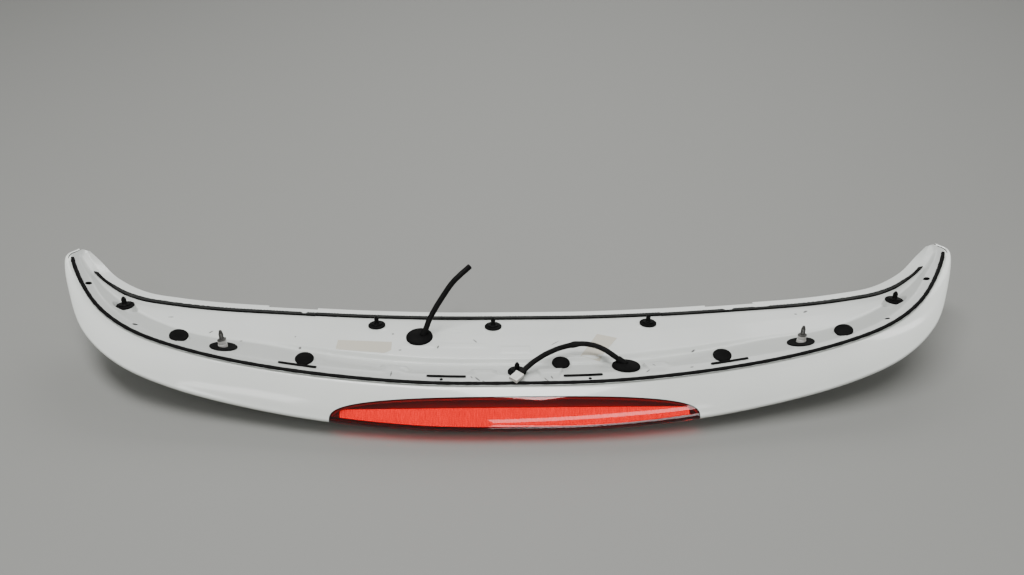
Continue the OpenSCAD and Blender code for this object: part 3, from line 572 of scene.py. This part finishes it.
def scuffs(kit, marks):
    """Short rubbed marks and scratches, each a soft streak at its own place on the panel."""
    mat, n, link, bsdf, noise, span, blend, base, where = kit
    total = None
    for x, y, length, width, angle in marks:
        m = n.new("ShaderNodeMapping")
        m.vector_type = "TEXTURE"
        m.inputs["Location"].default_value = (x * MM, y * MM, 0)
        m.inputs["Rotation"].default_value = (0, 0, math.radians(angle))
        m.inputs["Scale"].default_value = (length * MM * 0.6, width * MM * 0.8, 1e3)
        link(where, m.inputs["Vector"])
        v = n.new("ShaderNodeVectorMath")
        v.operation = "LENGTH"
        link(m.outputs["Vector"], v.inputs[0])
        f = span(v.outputs["Value"], 1.0, 0.55)
        if total is None:
            total = f
        else:
            k = n.new("ShaderNodeMath")
            k.operation = "MAXIMUM"
            link(total, k.inputs[0])
            link(f, k.inputs[1])
            total = k.outputs[0]
    k = n.new("ShaderNodeMath")
    k.operation = "MULTIPLY"
    link(total, k.inputs[0])
    link(span(noise(900, 4, 0.6, 5.5), 0.3, 0.5), k.inputs[1])
    link(blend(k.outputs[0], base, (0.03, 0.03, 0.028)), bsdf.inputs["Base Color"])


# Middle of each mark, its length, width and angle
MARKS = [(-414.5, 22.7, 7, 1.6, 55), (-370.5, 7.9, 4, 2, 20), (-289, -3.3, 4, 2, 0), (-167.8, 31.4, 3.4, 2.6, 0),
         (-102.9, -0.7, 8, 1.6, 80), (-52.9, 14.6, 10, 1.5, -58), (-157.2, -72, 9, 1.3, 85), (-47, -82, 10, 1.5, -45),
         (-39, -86, 6, 1.2, -30), (-55, -78, 5, 1.2, -60), (40.5, -84.3, 10, 1.5, -48), (47, -80, 5, 1.2, -60),
         (-476, 48.4, 7, 1.6, 20), (170.5, -70.9, 7, 1.4, 40), (180, -60, 5, 1.3, -50), (242.8, -14.3, 6, 1.6, 30),
         (227.8, -65.9, 5, 1.6, 10), (-153.4, -9.3, 4, 2, 0), (57.2, 7.8, 16, 1.0, 42), (420, 62, 8, 2.5, 30),
         (405, 58, 4, 2, -20), (-300, 20, 3, 1.5, 70)]
scuffs(kit, MARKS)
dress(panel, panel_paint, "panel_paint", "underside_panel")

# Perimeter seal
# A soft black bead laid along the crease, from wing tip to wing tip, which closes the gap to the tailgate.
def rubber(name, colour, rough, grain, strength, dust=0.03, seed=0.0, side=None):
    """Moulded or extruded rubber: matt black with a fine grain and a little pale dust; if asked, painted shade makes
    its sides darker than its top.
    """
    mat, n, link, bsdf, noise, span, blend, base, where = paint(name, colour, rough, 0.0, grain, strength, 0.0, seed)
    if side:
        # Painted shade: faces that turn away from straight up take the darker side colour.
        facing = n.new("ShaderNodeSeparateXYZ")
        link(n.new("ShaderNodeNewGeometry").outputs["Normal"], facing.inputs[0])
        base = blend(span(facing.outputs["Z"], 0.72, 0.93), side, base)
    haze = span(noise(60, 6, 0.65, 7.3), 0.45, 0.8, 0.0, dust)
    link(blend(haze, base, (0.20, 0.195, 0.18)), bsdf.inputs["Base Color"])
    bsdf.inputs["Specular IOR Level"].default_value = 0.06
    return mat


def along_panel(name, t0, t1, inward, profile, lift, pitch=3.0, edit=None):
    """Strip laid on the panel between two stations, its middle a set distance in from the edge."""
    rings, ts, t = [], [], t0
    while t < t1:
        ts.append(t)
        a = min(max(t, -8.97), 8.97)
        b = a + 0.02
        speed = np.linalg.norm(panel_pt(b, from_nose(b, inward)) - panel_pt(a, from_nose(a, inward))) / 0.02
        t += pitch / max(speed, 20)
    ts.append(t1)
    for i, t in enumerate(ts):
        pts = np.array(profile, float)
        if edit is not None:
            pts = edit(pts, t, i, len(ts))
        s = from_nose(t, inward) + pts[:, 0]
        z = np.array([float(panel_height(t, k)) for k in s]) + lift + pts[:, 1]
        rings.append(in_section(t, np.column_stack([s, z])))
    return lofted(name, rings, 50)


def bead(w, h):
    """Half-round profile."""
    return [(-w / 2, 0)] + [(w / 2 * -math.cos(math.pi * k / 8), h * math.sin(math.pi * k / 8) ** 0.7)
                            for k in range(1, 8)] + [(w / 2, 0)]


def seal_ends(pts, t, i, n):
    """Bead a little uneven along its run and narrower at its two ends."""
    k = min(1.0, 0.82 + 0.1 * min(i, n - 1 - i))
    wave = 1 + 0.05 * math.sin(t * 23) + 0.04 * math.sin(t * 61 + 1)
    return pts * [k * wave, k]


seal = along_panel("seal_bead", -8.0, 8.0, 3.0, bead(5.4, 2.0), 0.5, 3.5, seal_ends)
seal_rubber = rubber("seal_rubber", (0.005, 0.005, 0.005), 0.5, 900, 0.25)
dress(seal, seal_rubber, "seal_rubber", "perimeter_seal")

# Leading edge foam
# Three lengths of grey-black foam tape stuck along the leading edge, a little ragged where cut and knocked.
# The foam's grey top and black sides are painted shade, set by which way each face points.
foam = rubber("foam", (0.030, 0.031, 0.030), 0.95, 420, 0.9, 0.12, 2.0, (0.006, 0.006, 0.006))
FOAM_W, FOAM_H = 6.0, 3.0
MIDDLE_IN, OUTER_FOAM_IN, FOAM_END = 16.5, 17.1, 588


def foam_line(name, x0, x1, inward, node, nicks=(), narrow=()):
    """Tape from x0 to x1; nicks have middle, half length and depth, narrow stretches their ends and depth."""
    t0, t1 = station_at(x0, -inward), station_at(x1, -inward)
    half, h = FOAM_W / 2, FOAM_H

    def edit(pts, t, i, n):
        x = in_section(t, [[from_nose(t, -inward), 0]])[0][0]
        ragged = 0.22 * math.sin(t * 97) + 0.18 * math.sin(t * 211 + 2) + 0.12 * math.sin(t * 367 + 4)
        out = pts.copy()
        out[2:6, 0] += ragged * 0.5
        out[6:, 0] += 0.3 * math.sin(t * 157 + 1)
        out[:, 1] *= 1 + 0.06 * math.sin(t * 71 + x)
        for c, wide, deep in nicks:
            k = min(1.0, 2 * max(0.0, 1 - abs(x - c) / wide))
            out[:, 0] = np.minimum(out[:, 0], half - FOAM_W * deep * k)
        for a, b, deep in narrow:
            if a < x < b:
                out[:, 0] = np.minimum(out[:, 0], half - FOAM_W * deep)
        return out

    profile = [(-half, 0), (-half, h * 0.55), (-half + 0.35, h * 0.93), (-half + 1, h), (0, h), (half - 1, h),
               (half - 0.35, h * 0.93), (half, h * 0.55), (half, 0)]
    piece = along_panel(name, t0, t1, -inward, profile, GLUE, 2.0, edit)
    return dress(piece, foam, "foam", node)


foam_line("foam_tape_left", -FOAM_END, -283.4, OUTER_FOAM_IN, "front_foam_left", [(-300, 4.5, 0.6), (-488, 1.5, 0.15)])
foam_line("foam_tape_middle", -283, 216, MIDDLE_IN, "front_foam_middle")
foam_line("foam_tape_right", 216.4, FOAM_END, OUTER_FOAM_IN, "front_foam_right",
          [(314, 9, 0.62), (363, 2, 0.3)], [(216, 352, 0.12), (352, 374, 0.32)])

# Third brake lamp
# A red clear lens flush in the band, over a ribbed light guide, a dark red tray, a board with diodes and a gasket.
lens_rings = []
for t in np.linspace(-4.2, 4.2, 121):
    corners = skin_corners(t)
    face = drawn_through(corners, SKIN_STEPS)[1:30]
    back = drawn_through(moved_in(corners, 2.5), SKIN_STEPS)[1:30]
    lens_rings.append(in_section(t, np.vstack([face, back[::-1]])))
lens = cut(lofted("lens", lens_rings), lamp_prism(0, LAMP_REACH - LENS_GAP), "INTERSECT")


def red_glass():
    """Clear red plastic with a red shadow, and matt black where its face turns near level over its edge and at its
    ends: partly the lamp's dark underside, partly painted shade.
    """
    mat = bpy.data.materials.new("red_lens")
    mat.use_nodes = True
    n, link = mat.node_tree.nodes, mat.node_tree.links.new
    glass = n["Principled BSDF"]
    glass.inputs["Base Color"].default_value = (0.97, 0.045, 0.045, 1)
    glass.inputs["Roughness"].default_value = 0.03
    glass.inputs["IOR"].default_value = 1.49
    glass.inputs["Transmission Weight"].default_value = 1.0
    haze = n.new("ShaderNodeTexNoise")
    haze.inputs["Scale"].default_value = 70
    soft = n.new("ShaderNodeMapRange")
    for k, v in (("From Min", 0.4), ("From Max", 0.7), ("To Min", 0.015), ("To Max", 0.035)):
        soft.inputs[k].default_value = v
    link(n.new("ShaderNodeTexCoord").outputs["Object"], haze.inputs["Vector"])
    link(haze.outputs["Fac"], soft.inputs["Value"])
    link(soft.outputs["Result"], glass.inputs["Roughness"])
    clear = n.new("ShaderNodeBsdfTransparent")
    clear.inputs["Color"].default_value = (0.88, 0.05, 0.05, 1)
    both = n.new("ShaderNodeMixShader")
    link(n.new("ShaderNodeLightPath").outputs["Is Shadow Ray"], both.inputs[0])
    link(glass.outputs[0], both.inputs[1])
    link(clear.outputs[0], both.inputs[2])
    black_border_and_shade = n.new("ShaderNodeBsdfPrincipled")
    black_border_and_shade.inputs["Base Color"].default_value = (0.006, 0.005, 0.005, 1)
    black_border_and_shade.inputs["Roughness"].default_value = 0.4
    # Painted shade in part: faces whose normal turns near level take the matt black.
    facing = n.new("ShaderNodeSeparateXYZ")
    link(n.new("ShaderNodeNewGeometry").outputs["Normal"], facing.inputs[0])
    level = n.new("ShaderNodeMath")
    level.operation = "ABSOLUTE"
    link(facing.outputs["Z"], level.inputs[0])
    under = n.new("ShaderNodeMapRange")
    for k, v in (("From Min", 0.2), ("From Max", 0.4)):
        under.inputs[k].default_value = v
    link(level.outputs[0], under.inputs["Value"])
    edged = n.new("ShaderNodeMixShader")
    link(under.outputs["Result"], edged.inputs[0])
    link(black_border_and_shade.outputs[0], edged.inputs[1])
    link(both.outputs[0], edged.inputs[2])
    link(edged.outputs[0], n["Material Output"].inputs["Surface"])
    return mat


dress(lens, red_glass(), "red_lens", "lamp_lens")


def finish_node(node, mat):
    """A CAD node whose shape is right keeps it and takes a finish."""
    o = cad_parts[node]
    o.data.materials.clear()
    o.data.materials.append(mat)


red_guide = paint("red_guide", (0.88, 0.012, 0.022), 0.3, 0.1, 700, 0.1, 0.0, 6.0)[0]
finish_node("lamp_light_guide", red_guide)
lamp_plastic = rubber("lamp_plastic", (0.17, 0.006, 0.006), 0.5, 1200, 0.1, 0.02, 3.0)
finish_node("lamp_tray", lamp_plastic)
finish_node("lamp_gasket", foam)
board_green = paint("board", (0.02, 0.06, 0.035), 0.4, 0.3, 2200, 0.05, 0.05, 9.0)[0]
finish_node("lamp_board", board_green)
diode = paint("diode", (0.60, 0.58, 0.50), 0.3, 0.5, 3000, 0.03, 0.0, 11.0)[0]
finish_node("lamp_leds", diode)

# Mounting studs
# Two dark plated studs with a dog point stand from bosses; a foam pad and a milky nylon spacer sit on each,
# held by a dark push nut.
def metal(name, colour, share, dust, seed):
    """Dull plated steel with a fine grain and a little grime."""
    mat, _, _, bsdf = paint(name, colour, 0.42, 0.0, 1800, 0.12, dust, seed)[:4]
    bsdf.inputs["Metallic"].default_value = share
    return mat


steel = metal("steel", (0.11, 0.108, 0.102), 1.0, 0.25, 12.0)
nut_steel = metal("push_nut_steel", (0.10, 0.098, 0.092), 0.8, 0.15, 13.0)
nylon, _, _, bsdf = paint("spacer_plastic", (0.60, 0.59, 0.56), 0.35, 0.1, 900, 0.08, 0.1, 14.0)[:4]
bsdf.inputs["Subsurface Weight"].default_value = 0.25
bsdf.inputs["Subsurface Radius"].default_value = (0.003, 0.003, 0.0025)
pad_foam = rubber("pad_foam", (0.007, 0.007, 0.007), 0.9, 480, 0.8, 0.05, 22.0)
STUD_D, STUD_L, THREAD_L, DOG_L = 6, 26, 8, 4
PITCH, THREAD_DEEP = 1.0, 0.42
SPACER_D, PAD_D, PAD_H = 12.5, 35, 2
NUT_H, NUT_UP, NUT_TILT = 1.8, 0.4, -8


def ring_at(r, z, a):
    """Ring of points at height z; r is one radius or one for each angle a."""
    return np.column_stack([r * np.cos(a), r * np.sin(a), np.full(len(a), z)])


def on_axis(name, rings, o, m, smooth):
    """Closed piece through rings about a seat's own axis."""
    return mesh_piece(name, np.vstack(rings) @ m.T + o, ring_faces(len(rings), len(rings[0])), smooth)


def turned(name, o, m, profile, sides=64, smooth=35):
    """Closed piece turned from (radius, height) points about a seat's own axis."""
    a = np.linspace(0, 2 * math.pi, sides, endpoint=False)
    return on_axis(name, [ring_at(r, z, a) for r, z in profile], o, m, smooth)


def threaded(name, o, m, r, z0, z1, pitch, depth, foot, tip):
    """Stud with a real helical thread between z0 and z1, its foot and tip given by (radius, height) points."""
    a = np.linspace(0, 2 * math.pi, 40, endpoint=False)
    rows = int((z1 - z0) / pitch * 8)
    rings = [ring_at(rr, zz, a) for rr, zz in foot]
    for k in range(rows + 1):
        z = z0 + (z1 - z0) * k / rows
        turn = (z / pitch - a / (2 * math.pi)) % 1
        fade = min(1, k / 5, (rows - k) / 4)
        rings.append(ring_at(r - depth * (1 - (1 - np.abs(2 * turn - 1)) * fade), z, a))
    rings += [ring_at(rr, zz, a) for rr, zz in tip]
    return on_axis(name, rings, o, m, 25)


for side, (o, m), (po, pm) in (("left", STUDS[0], STUD_PADS[0]), ("right", STUDS[1], STUD_PADS[1])):
    top, shank, dog = STUD_L - DOG_L, STUD_D * 0.435, STUD_D / 4
    stud = threaded("stud_turned_" + side, o, m, STUD_D / 2, top - THREAD_L, top, PITCH, THREAD_DEEP,
                    [(8.6, -7), (9, -6.7), (9, -4.8), (8.7, -4.5), (shank, -4.5), (shank, top - THREAD_L)],
                    [(STUD_D / 2 - THREAD_DEEP, top + 0.2), (dog + 0.15, STUD_L - 0.6), (dog - 0.3, STUD_L)])
    dress(stud, steel, "steel", "stud_" + side)
    r, hole, z = PAD_D / 2, SPACER_D / 2 + 1.5, BOSS_UP + PAD_H
    pad = turned("stud_pad_soft_" + side, po, pm, [
        (hole, BOSS_UP), (r - 0.4, BOSS_UP), (r, BOSS_UP + 0.4), (r, z - 0.6), (r - 0.7, z), (hole + 0.5, z), (hole, z - 0.3)])
    dress(pad, pad_foam, "foam", "stud_pad_" + side)
    r, h = SPACER_D / 2, top - THREAD_L - NUT_H - 0.4
    spacer = turned("stud_spacer_" + side + "_nylon", o, m, [
        (3.2, 0), (r - 0.2, 0), (r, 0.3), (r * 0.93, h * 0.52), (r * 0.84, h * 0.56), (r * 0.84, h * 0.72),
        (r * 0.9, h * 0.75), (r * 0.88, h - 0.4), (r * 0.84 - 0.3, h), (3.6, h), (3.2, h - 0.3)])
    dress(spacer, nylon, "spacer_plastic", "stud_spacer_" + side)
    c, s_ = math.cos(math.radians(NUT_TILT)), math.sin(math.radians(NUT_TILT))
    tilted = m @ np.array([[c, 0, s_], [0, 1, 0], [-s_, 0, c]])
    seat_at = o + (m - tilted) @ np.array([0, 0, h]) + m @ np.array([0, 0, NUT_UP])
    nut = turned("push_nut_" + side + "_sprung", seat_at, tilted, [
        (2.85, h), (5.5, h), (5.75, h + 0.25), (5.75, h + 0.7), (5.0, h + 1.0), (4.0, h + 1.3), (3.2, h + NUT_H),
        (2.85, h + NUT_H)])
    dress(nut, nut_steel, "steel", "push_nut_" + side)

# Pin clips and their washers
# Black nylon pin clips pushed through the panel's bosses, each on a soft sealing washer.
clip_black = rubber("clip_plastic", (0.005, 0.005, 0.005), 0.34, 1400, 0.12, 0.02, 5.0)
washer_black = rubber("washer_foam", (0.006, 0.006, 0.006), 0.85, 520, 0.6, 0.04, 6.0)
CLIP_NAMES = ["wing_left", "front_left", "front_middle", "front_right", "wing_right", "rear"]
WASHER_H, CLIP_L = 3, 15
for name, (o, m) in zip(CLIP_NAMES, CLIPS):
    z0 = WASHER_H
    clip = turned("pin_" + name, o, m, [
        (1.35, -8.5), (2.9, -7.8), (4.9, -6.5), (4.5, -4.9), (4.5, z0), (7.1, z0), (7.5, z0 + 0.3), (7.5, z0 + 1.2),
        (7.0, z0 + 1.6), (3.9, z0 + 1.7), (3.35, z0 + 2.2), (3.25, z0 + 3.4), (3.25, 11.4), (2.4, 13.2),
        (1.2, CLIP_L - 0.2), (0.9, CLIP_L)])
    dress(clip, clip_black, "clip_plastic", "clip_" + name)
    washer = turned("sealing_" + name, o, m, [
        (4.7, 0), (11.5, 0), (12, 0.5), (12, 1.9), (11.2, 2.7), (9.6, z0), (4.7, z0)])
    dress(washer, washer_black, "foam", "washer_" + name)

# Blanking plugs and grommets
# Domed black rubber plugs close the spare openings; two larger grommets lead out the washer hose and the harness.
grommet_rubber = rubber("grommet_rubber", (0.004, 0.004, 0.004), 0.7, 1000, 0.25, 0.03, 8.0)
PLUG_NAMES = ["outer_left", "inner_left", "centre", "inner_right", "outer_right"]
GLAND_D, GLAND_BORE, GLAND_H = 37, 28, 4.4
HOSE_D, HARNESS_D = 8, 7


def domed(d, bore, up, h):
    """Outline of a rubber plug: a barb under the panel, a neck in its bore and a domed head of height h."""
    r, e = bore / 2, d / 2
    return [(r - 1.2, -6.9), (r + 0.4, -4.9), (r, -4.8), (r, up), (e - 0.3, up), (e, up + 0.3), (e, up + h * 0.4)] + [
        (e * k, up + h * q) for k, q in ((0.975, 0.58), (0.9, 0.8), (0.82, 0.88), (0.7, 0.94), (0.55, 0.98), (0.2, 1))
    ] + [(0.4, up + h)]


for name, (o, m) in zip(PLUG_NAMES, PLUGS):
    plug = turned("blanking_" + name, o, m, domed(24, 17, 0, 2.4))
    dress(plug, grommet_rubber, "grommet_rubber", "plug_" + name)


def joined(main, other):
    return cut(main, other, "UNION")


def nipple(name, o, m, shift, lean, way, d, h):
    """Sleeve for a cord, shifted on its grommet and leaning by an angle towards a compass way."""
    lx, ly = math.radians(lean), math.radians(way)
    ry = np.array([[math.cos(lx), 0, math.sin(lx)], [0, 1, 0], [-math.sin(lx), 0, math.cos(lx)]])
    rz = np.array([[math.cos(ly), -math.sin(ly), 0], [math.sin(ly), math.cos(ly), 0], [0, 0, 1]])
    return turned(name, o + m @ np.array([*shift, 2.6]), m @ rz @ ry,
                  [(d / 2 + 1.5, 0.3), (d / 2 + 1.5, h - 0.6), (d / 2 + 1.0, h), (d / 2 * 0.6, h)])


o, m = GROMMETS[0]
hose_grommet = joined(turned("hose_gland", o, m, domed(GLAND_D, GLAND_BORE, BOSS_UP, GLAND_H)),
                      nipple("hose_sleeve", o, m, (5.0, 1.48), 45, 60, HOSE_D, 9))
dress(hose_grommet, grommet_rubber, "grommet_rubber", "hose_grommet")
o, m = GROMMETS[1]
harness_grommet = joined(turned("harness_gland", o, m, domed(GLAND_D, GLAND_BORE, BOSS_UP, GLAND_H)),
                         nipple("harness_sleeve", o, m, (0.44, 1.7), 66, 146, HARNESS_D, 14))
dress(harness_grommet, grommet_rubber, "grommet_rubber", "harness_grommet")

# Washer hose and harness
# A short stiff rubber hose stands from its grommet with a bare end; a taped wiring harness arches
# over the panel to its white connector.
HOSE = [[-121.5, 30, 46.5], [-119, 34.5, 51.5], [-116.5, 39.5, 56], [-113.5, 44.5, 60], [-110, 49.5, 64],
        [-106.5, 54, 68.5], [-102.5, 58.5, 73], [-98.5, 63, 77.5], [-94.5, 67, 82], [-90.5, 71, 86.5], [-86, 75, 91],
        [-81.5, 78.5, 95], [-76, 82.5, 98.5], [-71, 86.5, 101.5], [-65.5, 91, 104], [-60.5, 96, 106]]
HARNESS = [[134.5, -44.5, 58], [128, -39.5, 60], [122, -34.5, 61.5], [115.5, -29.5, 62], [108.5, -25.5, 62.5],
           [100.5, -22.5, 62.5], [92.5, -21, 62.5], [84, -21.5, 62.5], [76, -23, 62], [68, -25.5, 62], [60.5, -28.5, 62],
           [53, -32.5, 62], [46, -37, 62], [39.5, -42, 62.5], [33.5, -47.5, 63], [27.5, -53.5, 63.5], [22, -59.5, 64],
           [17, -66, 64.5], [12, -72.5, 64.5], [7, -78.5, 64.5]]


def cord_line(name, route, d, radius=lambda u, k: 1.0, sides=20, bore=0.0):
    """Round cord swept along its route, its line and length; a bored end shows its wall."""
    line = drawn_through(route, [5] * (len(route) - 1))
    step = np.linalg.norm(np.diff(line, axis=0), axis=1)
    run = np.concatenate([[0], np.cumsum(step)])
    rings, u = [], None
    for i, p in enumerate(line):
        w = line[min(i + 1, len(line) - 1)] - line[max(i - 1, 0)]
        w /= np.linalg.norm(w)
        u = np.cross(w, [0, 0, 1.0]) if u is None else u - w * (u @ w)
        u /= np.linalg.norm(u)
        v = np.cross(w, u)
        a = np.linspace(0, 2 * math.pi, sides, endpoint=False)
        r = np.array([d / 2 * radius(run[i], k) for k in a])
        rings.append(p + (r * np.cos(a))[:, None] * u + (r * np.sin(a))[:, None] * v)
    if bore:
        for f, i in ((0.9, -1), (bore, -1), (bore, -4), (bore * 0.3, -4)):
            c = line[i]
            last = rings[len(line) + i]
            rings.append(c + (last - c) * f)
    return lofted(name, np.array(rings)[:, ::-1], 60), line, float(run[-1])


hose, line, length = cord_line("washer_hose_rubber", HOSE, HOSE_D, bore=0.55)
hose_rubber = rubber("cord_rubber", (0.006, 0.006, 0.006), 0.42, 1100, 0.15, 0.03, 15.0)
dress(hose, hose_rubber, "cord_rubber", "washer_hose")
TAPE_PITCH, TAPE_STEP = 9.0, 0.03
BULGE_AT, BULGE_L, BULGE = 62, 4.5, 0.26


def tape(u, a):
    """Radius of the taped harness along its run u and round it: the lap of each turn and one thick wrap."""
    wrap = (u / TAPE_PITCH - a / (2 * math.pi)) % 1
    return 1 + TAPE_STEP * (wrap < 0.12) + BULGE * math.exp(-((u - BULGE_AT) / BULGE_L) ** 2)


harness, line, length = cord_line("harness_taped", HARNESS, HARNESS_D, tape, 24)
cloth_tape = rubber("harness_tape", (0.008, 0.008, 0.008), 0.7, 1800, 0.5, 0.05, 16.0)
dress(harness, cloth_tape, "cord_rubber", "harness_tube")

# Connector
# A small off-white plug of moulded nylon on the harness end, with a latch and ribs, lying on the panel.
white_nylon = paint("connector_plastic", (0.76, 0.74, 0.69), 0.38, 0.1, 900, 0.12, 0.2, 17.0)[0]
CONNECTOR_AT, CONNECTOR_TURN = np.array([2, -84.5, 62.0]), 50


def boxes(name, list_of_boxes):
    """Boxes in the connector's own directions, each from x0, x1, y0, y1, z0 and z1."""
    c, s = math.cos(math.radians(CONNECTOR_TURN)), math.sin(math.radians(CONNECTOR_TURN))
    m = np.array([[c, -s, 0], [s, c, 0], [0, 0, 1]])
    out = []
    for x0, x1, y0, y1, z0, z1 in list_of_boxes:
        corners = ((x0, y0), (x1, y0), (x1, y1), (x0, y1))
        out.append(np.array([[CONNECTOR_AT + m @ np.array([x, y, z]) for x, y in corners] for z in (z0, z1)]))
    return bars(name, out)


plug = boxes("connector_nylon", [(-7.2, 7.2, -6, 6, 0, 4.4)])
joined(plug, boxes("ribs", [(-7.5, -5.6, -6.2, 6.2, 0.4, 4.8), (5.6, 7.5, -6.2, 6.2, 0.4, 4.8), (-5, 4, -1.8, 1.8, 4, 5.0)]))
cut(plug, boxes("slots", [(-8, -3.4, y, y + 2, 1.2, 3.4) for y in (-5, -2.4, 0.4, 3)]))
bevel = plug.modifiers.new("edges", "BEVEL")
bevel.width, bevel.segments, bevel.limit_method = 0.0003, 2, "ANGLE"
dress(plug, white_nylon, "connector_plastic", "connector")

# Felt strips
# Four short black anti-squeak strips stuck on the rear flange.
felt_black = rubber("felt", (0.006, 0.006, 0.006), 0.95, 1500, 0.8, 0.05, 18.0)
FELT_L = 50
FELT_OUTLINE = [(-2, 0), (-2, 0.7), (-1.7, 1), (1.7, 1), (2, 0.7), (2, 0)]


def felt_ends(pts, t, i, n):
    """Strip with its two ends cut a little narrower."""
    return pts * [min(1.0, 0.72 + 0.14 * min(i, n - 1 - i)), 1]


for name, x, into in (("outer_left", -278, 14.5), ("inner_left", -87, 15.5), ("inner_right", 87, 15.5),
                      ("outer_right", 278, 14.5)):
    t0, t1 = station_at(x - FELT_L / 2, into), station_at(x + FELT_L / 2, into)
    strip = along_panel("felt_strip_" + name, t0, t1, into, FELT_OUTLINE, GLUE, 1.2, felt_ends)
    dress(strip, felt_black, "felt", "felt_" + name)

# Bare labels
# Two pale paper labels stuck in the recess, left blank; each follows the panel under it.
from mathutils import Vector
from mathutils.bvhtree import BVHTree
panel_tree = BVHTree.FromPolygons([v.co for v in panel.data.vertices],
                                  [tuple(f.vertices) for f in panel.data.polygons])
paper = paint("label_paper", (0.60, 0.57, 0.48), 0.6, 0.0, 700, 0.15, 0.3, 19.0)[0]
LABEL_UNDER, LABEL_TOP = 0.05, 0.2


def label(name, corners, clip):
    """Thin sheet over four corners, its corner number 2 cut off, lying on the panel."""
    a, b, c, d = (np.array(q, float) for q in corners)
    across, deep, sheets = 26, 12, ([], [])
    for j in range(deep + 1):
        v = j / deep
        last = 1 - clip * max(0.0, 1 - (1 - v) / 0.3)
        for i in range(across + 1):
            x, y = mix(mix(a, b, i / across * last), mix(d, c, i / across * last), v)
            z = panel_tree.ray_cast(Vector((x * MM, y * MM, 0.2)), Vector((0, 0, -1)))[0].z / MM
            sheets[0].append([x, y, z + LABEL_UNDER])
            sheets[1].append([x, y, z + LABEL_TOP])
    w, n = across + 1, (across + 1) * (deep + 1)
    faces = []
    for j in range(deep):
        for i in range(across):
            q = [j * w + i, j * w + i + 1, (j + 1) * w + i + 1, (j + 1) * w + i]
            faces += [tuple(q), tuple(k + n for k in q[::-1])]
    rim = list(range(w)) + [j * w + across for j in range(1, deep + 1)]
    rim += [deep * w + i for i in range(across - 1, -1, -1)] + [j * w for j in range(deep - 1, 0, -1)]
    faces += [(rim[i], rim[i] + n, rim[(i + 1) % len(rim)] + n, rim[(i + 1) % len(rim)]) for i in range(len(rim))]
    return dress(mesh_piece(name, sheets[0] + sheets[1], faces), paper)


label("label_left", [(-240.5, 12.9), (-166.6, 10.5), (-164.5, -18.5), (-239.5, -10.2)], 0.12)
label("label_right", [(117.7, 29.4), (144, 17.3), (114.9, -30.8), (88.6, -26.1)], 0)

# Camera, floor and light
# The photograph's own view from above the trailing edge; a plain pale floor and soft studio light.
eye = bpy.data.cameras.new("eye")
eye.lens, eye.sensor_width, eye.sensor_fit = 26.49, 36, "HORIZONTAL"
eye.clip_start, eye.clip_end = 0.02, 50
camera = bpy.data.objects.new("eye", eye)
camera.location = (-0.0198, -0.7709, 0.7257)
camera.rotation_euler = (math.radians(52.83), math.radians(-0.31), math.radians(-1.04))
bpy.context.scene.collection.objects.link(camera)
bpy.context.scene.camera = camera

floor_mesh = bpy.data.meshes.new("floor")
floor_mesh.from_pydata([(-9, -9, 0), (9, -9, 0), (9, 9, 0), (-9, 9, 0)], [], [(0, 1, 2, 3)])
floor = bpy.data.objects.new("floor", floor_mesh)
floor.location.z = -0.0002
bpy.context.scene.collection.objects.link(floor)
pale = bpy.data.materials.new("floor_pale")
pale.use_nodes = True
pale.node_tree.nodes["Principled BSDF"].inputs["Base Color"].default_value = (0.278, 0.28, 0.266, 1)
pale.node_tree.nodes["Principled BSDF"].inputs["Roughness"].default_value = 0.7
floor_mesh.materials.append(pale)

world = bpy.data.worlds.new("studio")
world.use_nodes = True
world.node_tree.nodes["Background"].inputs["Color"].default_value = (1.0, 1.0, 0.985, 1)
world.node_tree.nodes["Background"].inputs["Strength"].default_value = 0.33
bpy.context.scene.world = world


def lamp(name, place, aim, size, power):
    light = bpy.data.lights.new(name, "AREA")
    light.shape, light.size, light.size_y, light.energy = "RECTANGLE", size[0], size[1], power
    o = bpy.data.objects.new(name, light)
    o.location = place
    d = np.array(aim, float) - np.array(place, float)
    o.rotation_euler = (math.atan2(math.hypot(d[0], d[1]), -d[2]), 0, math.atan2(d[1], d[0]) - math.pi / 2)
    bpy.context.scene.collection.objects.link(o)


lamp("back_window", (0.6, 2.6, 2.2), (0, 0, 0), (3.0, 1.4), 36)
lamp("ceiling", (-0.3, -0.3, 2.8), (0, 0, 0), (2.2, 0.8), 73)
lamp("low_strip", (0.55, -1.75, 1.86), (0.1, -0.12, 0.03), (1.3, 0.16), 4)
lamp("left_panel", (-1.3, -1.2, 1.95), (-0.29, -0.11, 0.03), (0.4, 0.25), 2)
lamp("right_panel", (1.6, 0.7, 2.3), (0.5, -0.02, 0.08), (0.35, 0.25), 2)
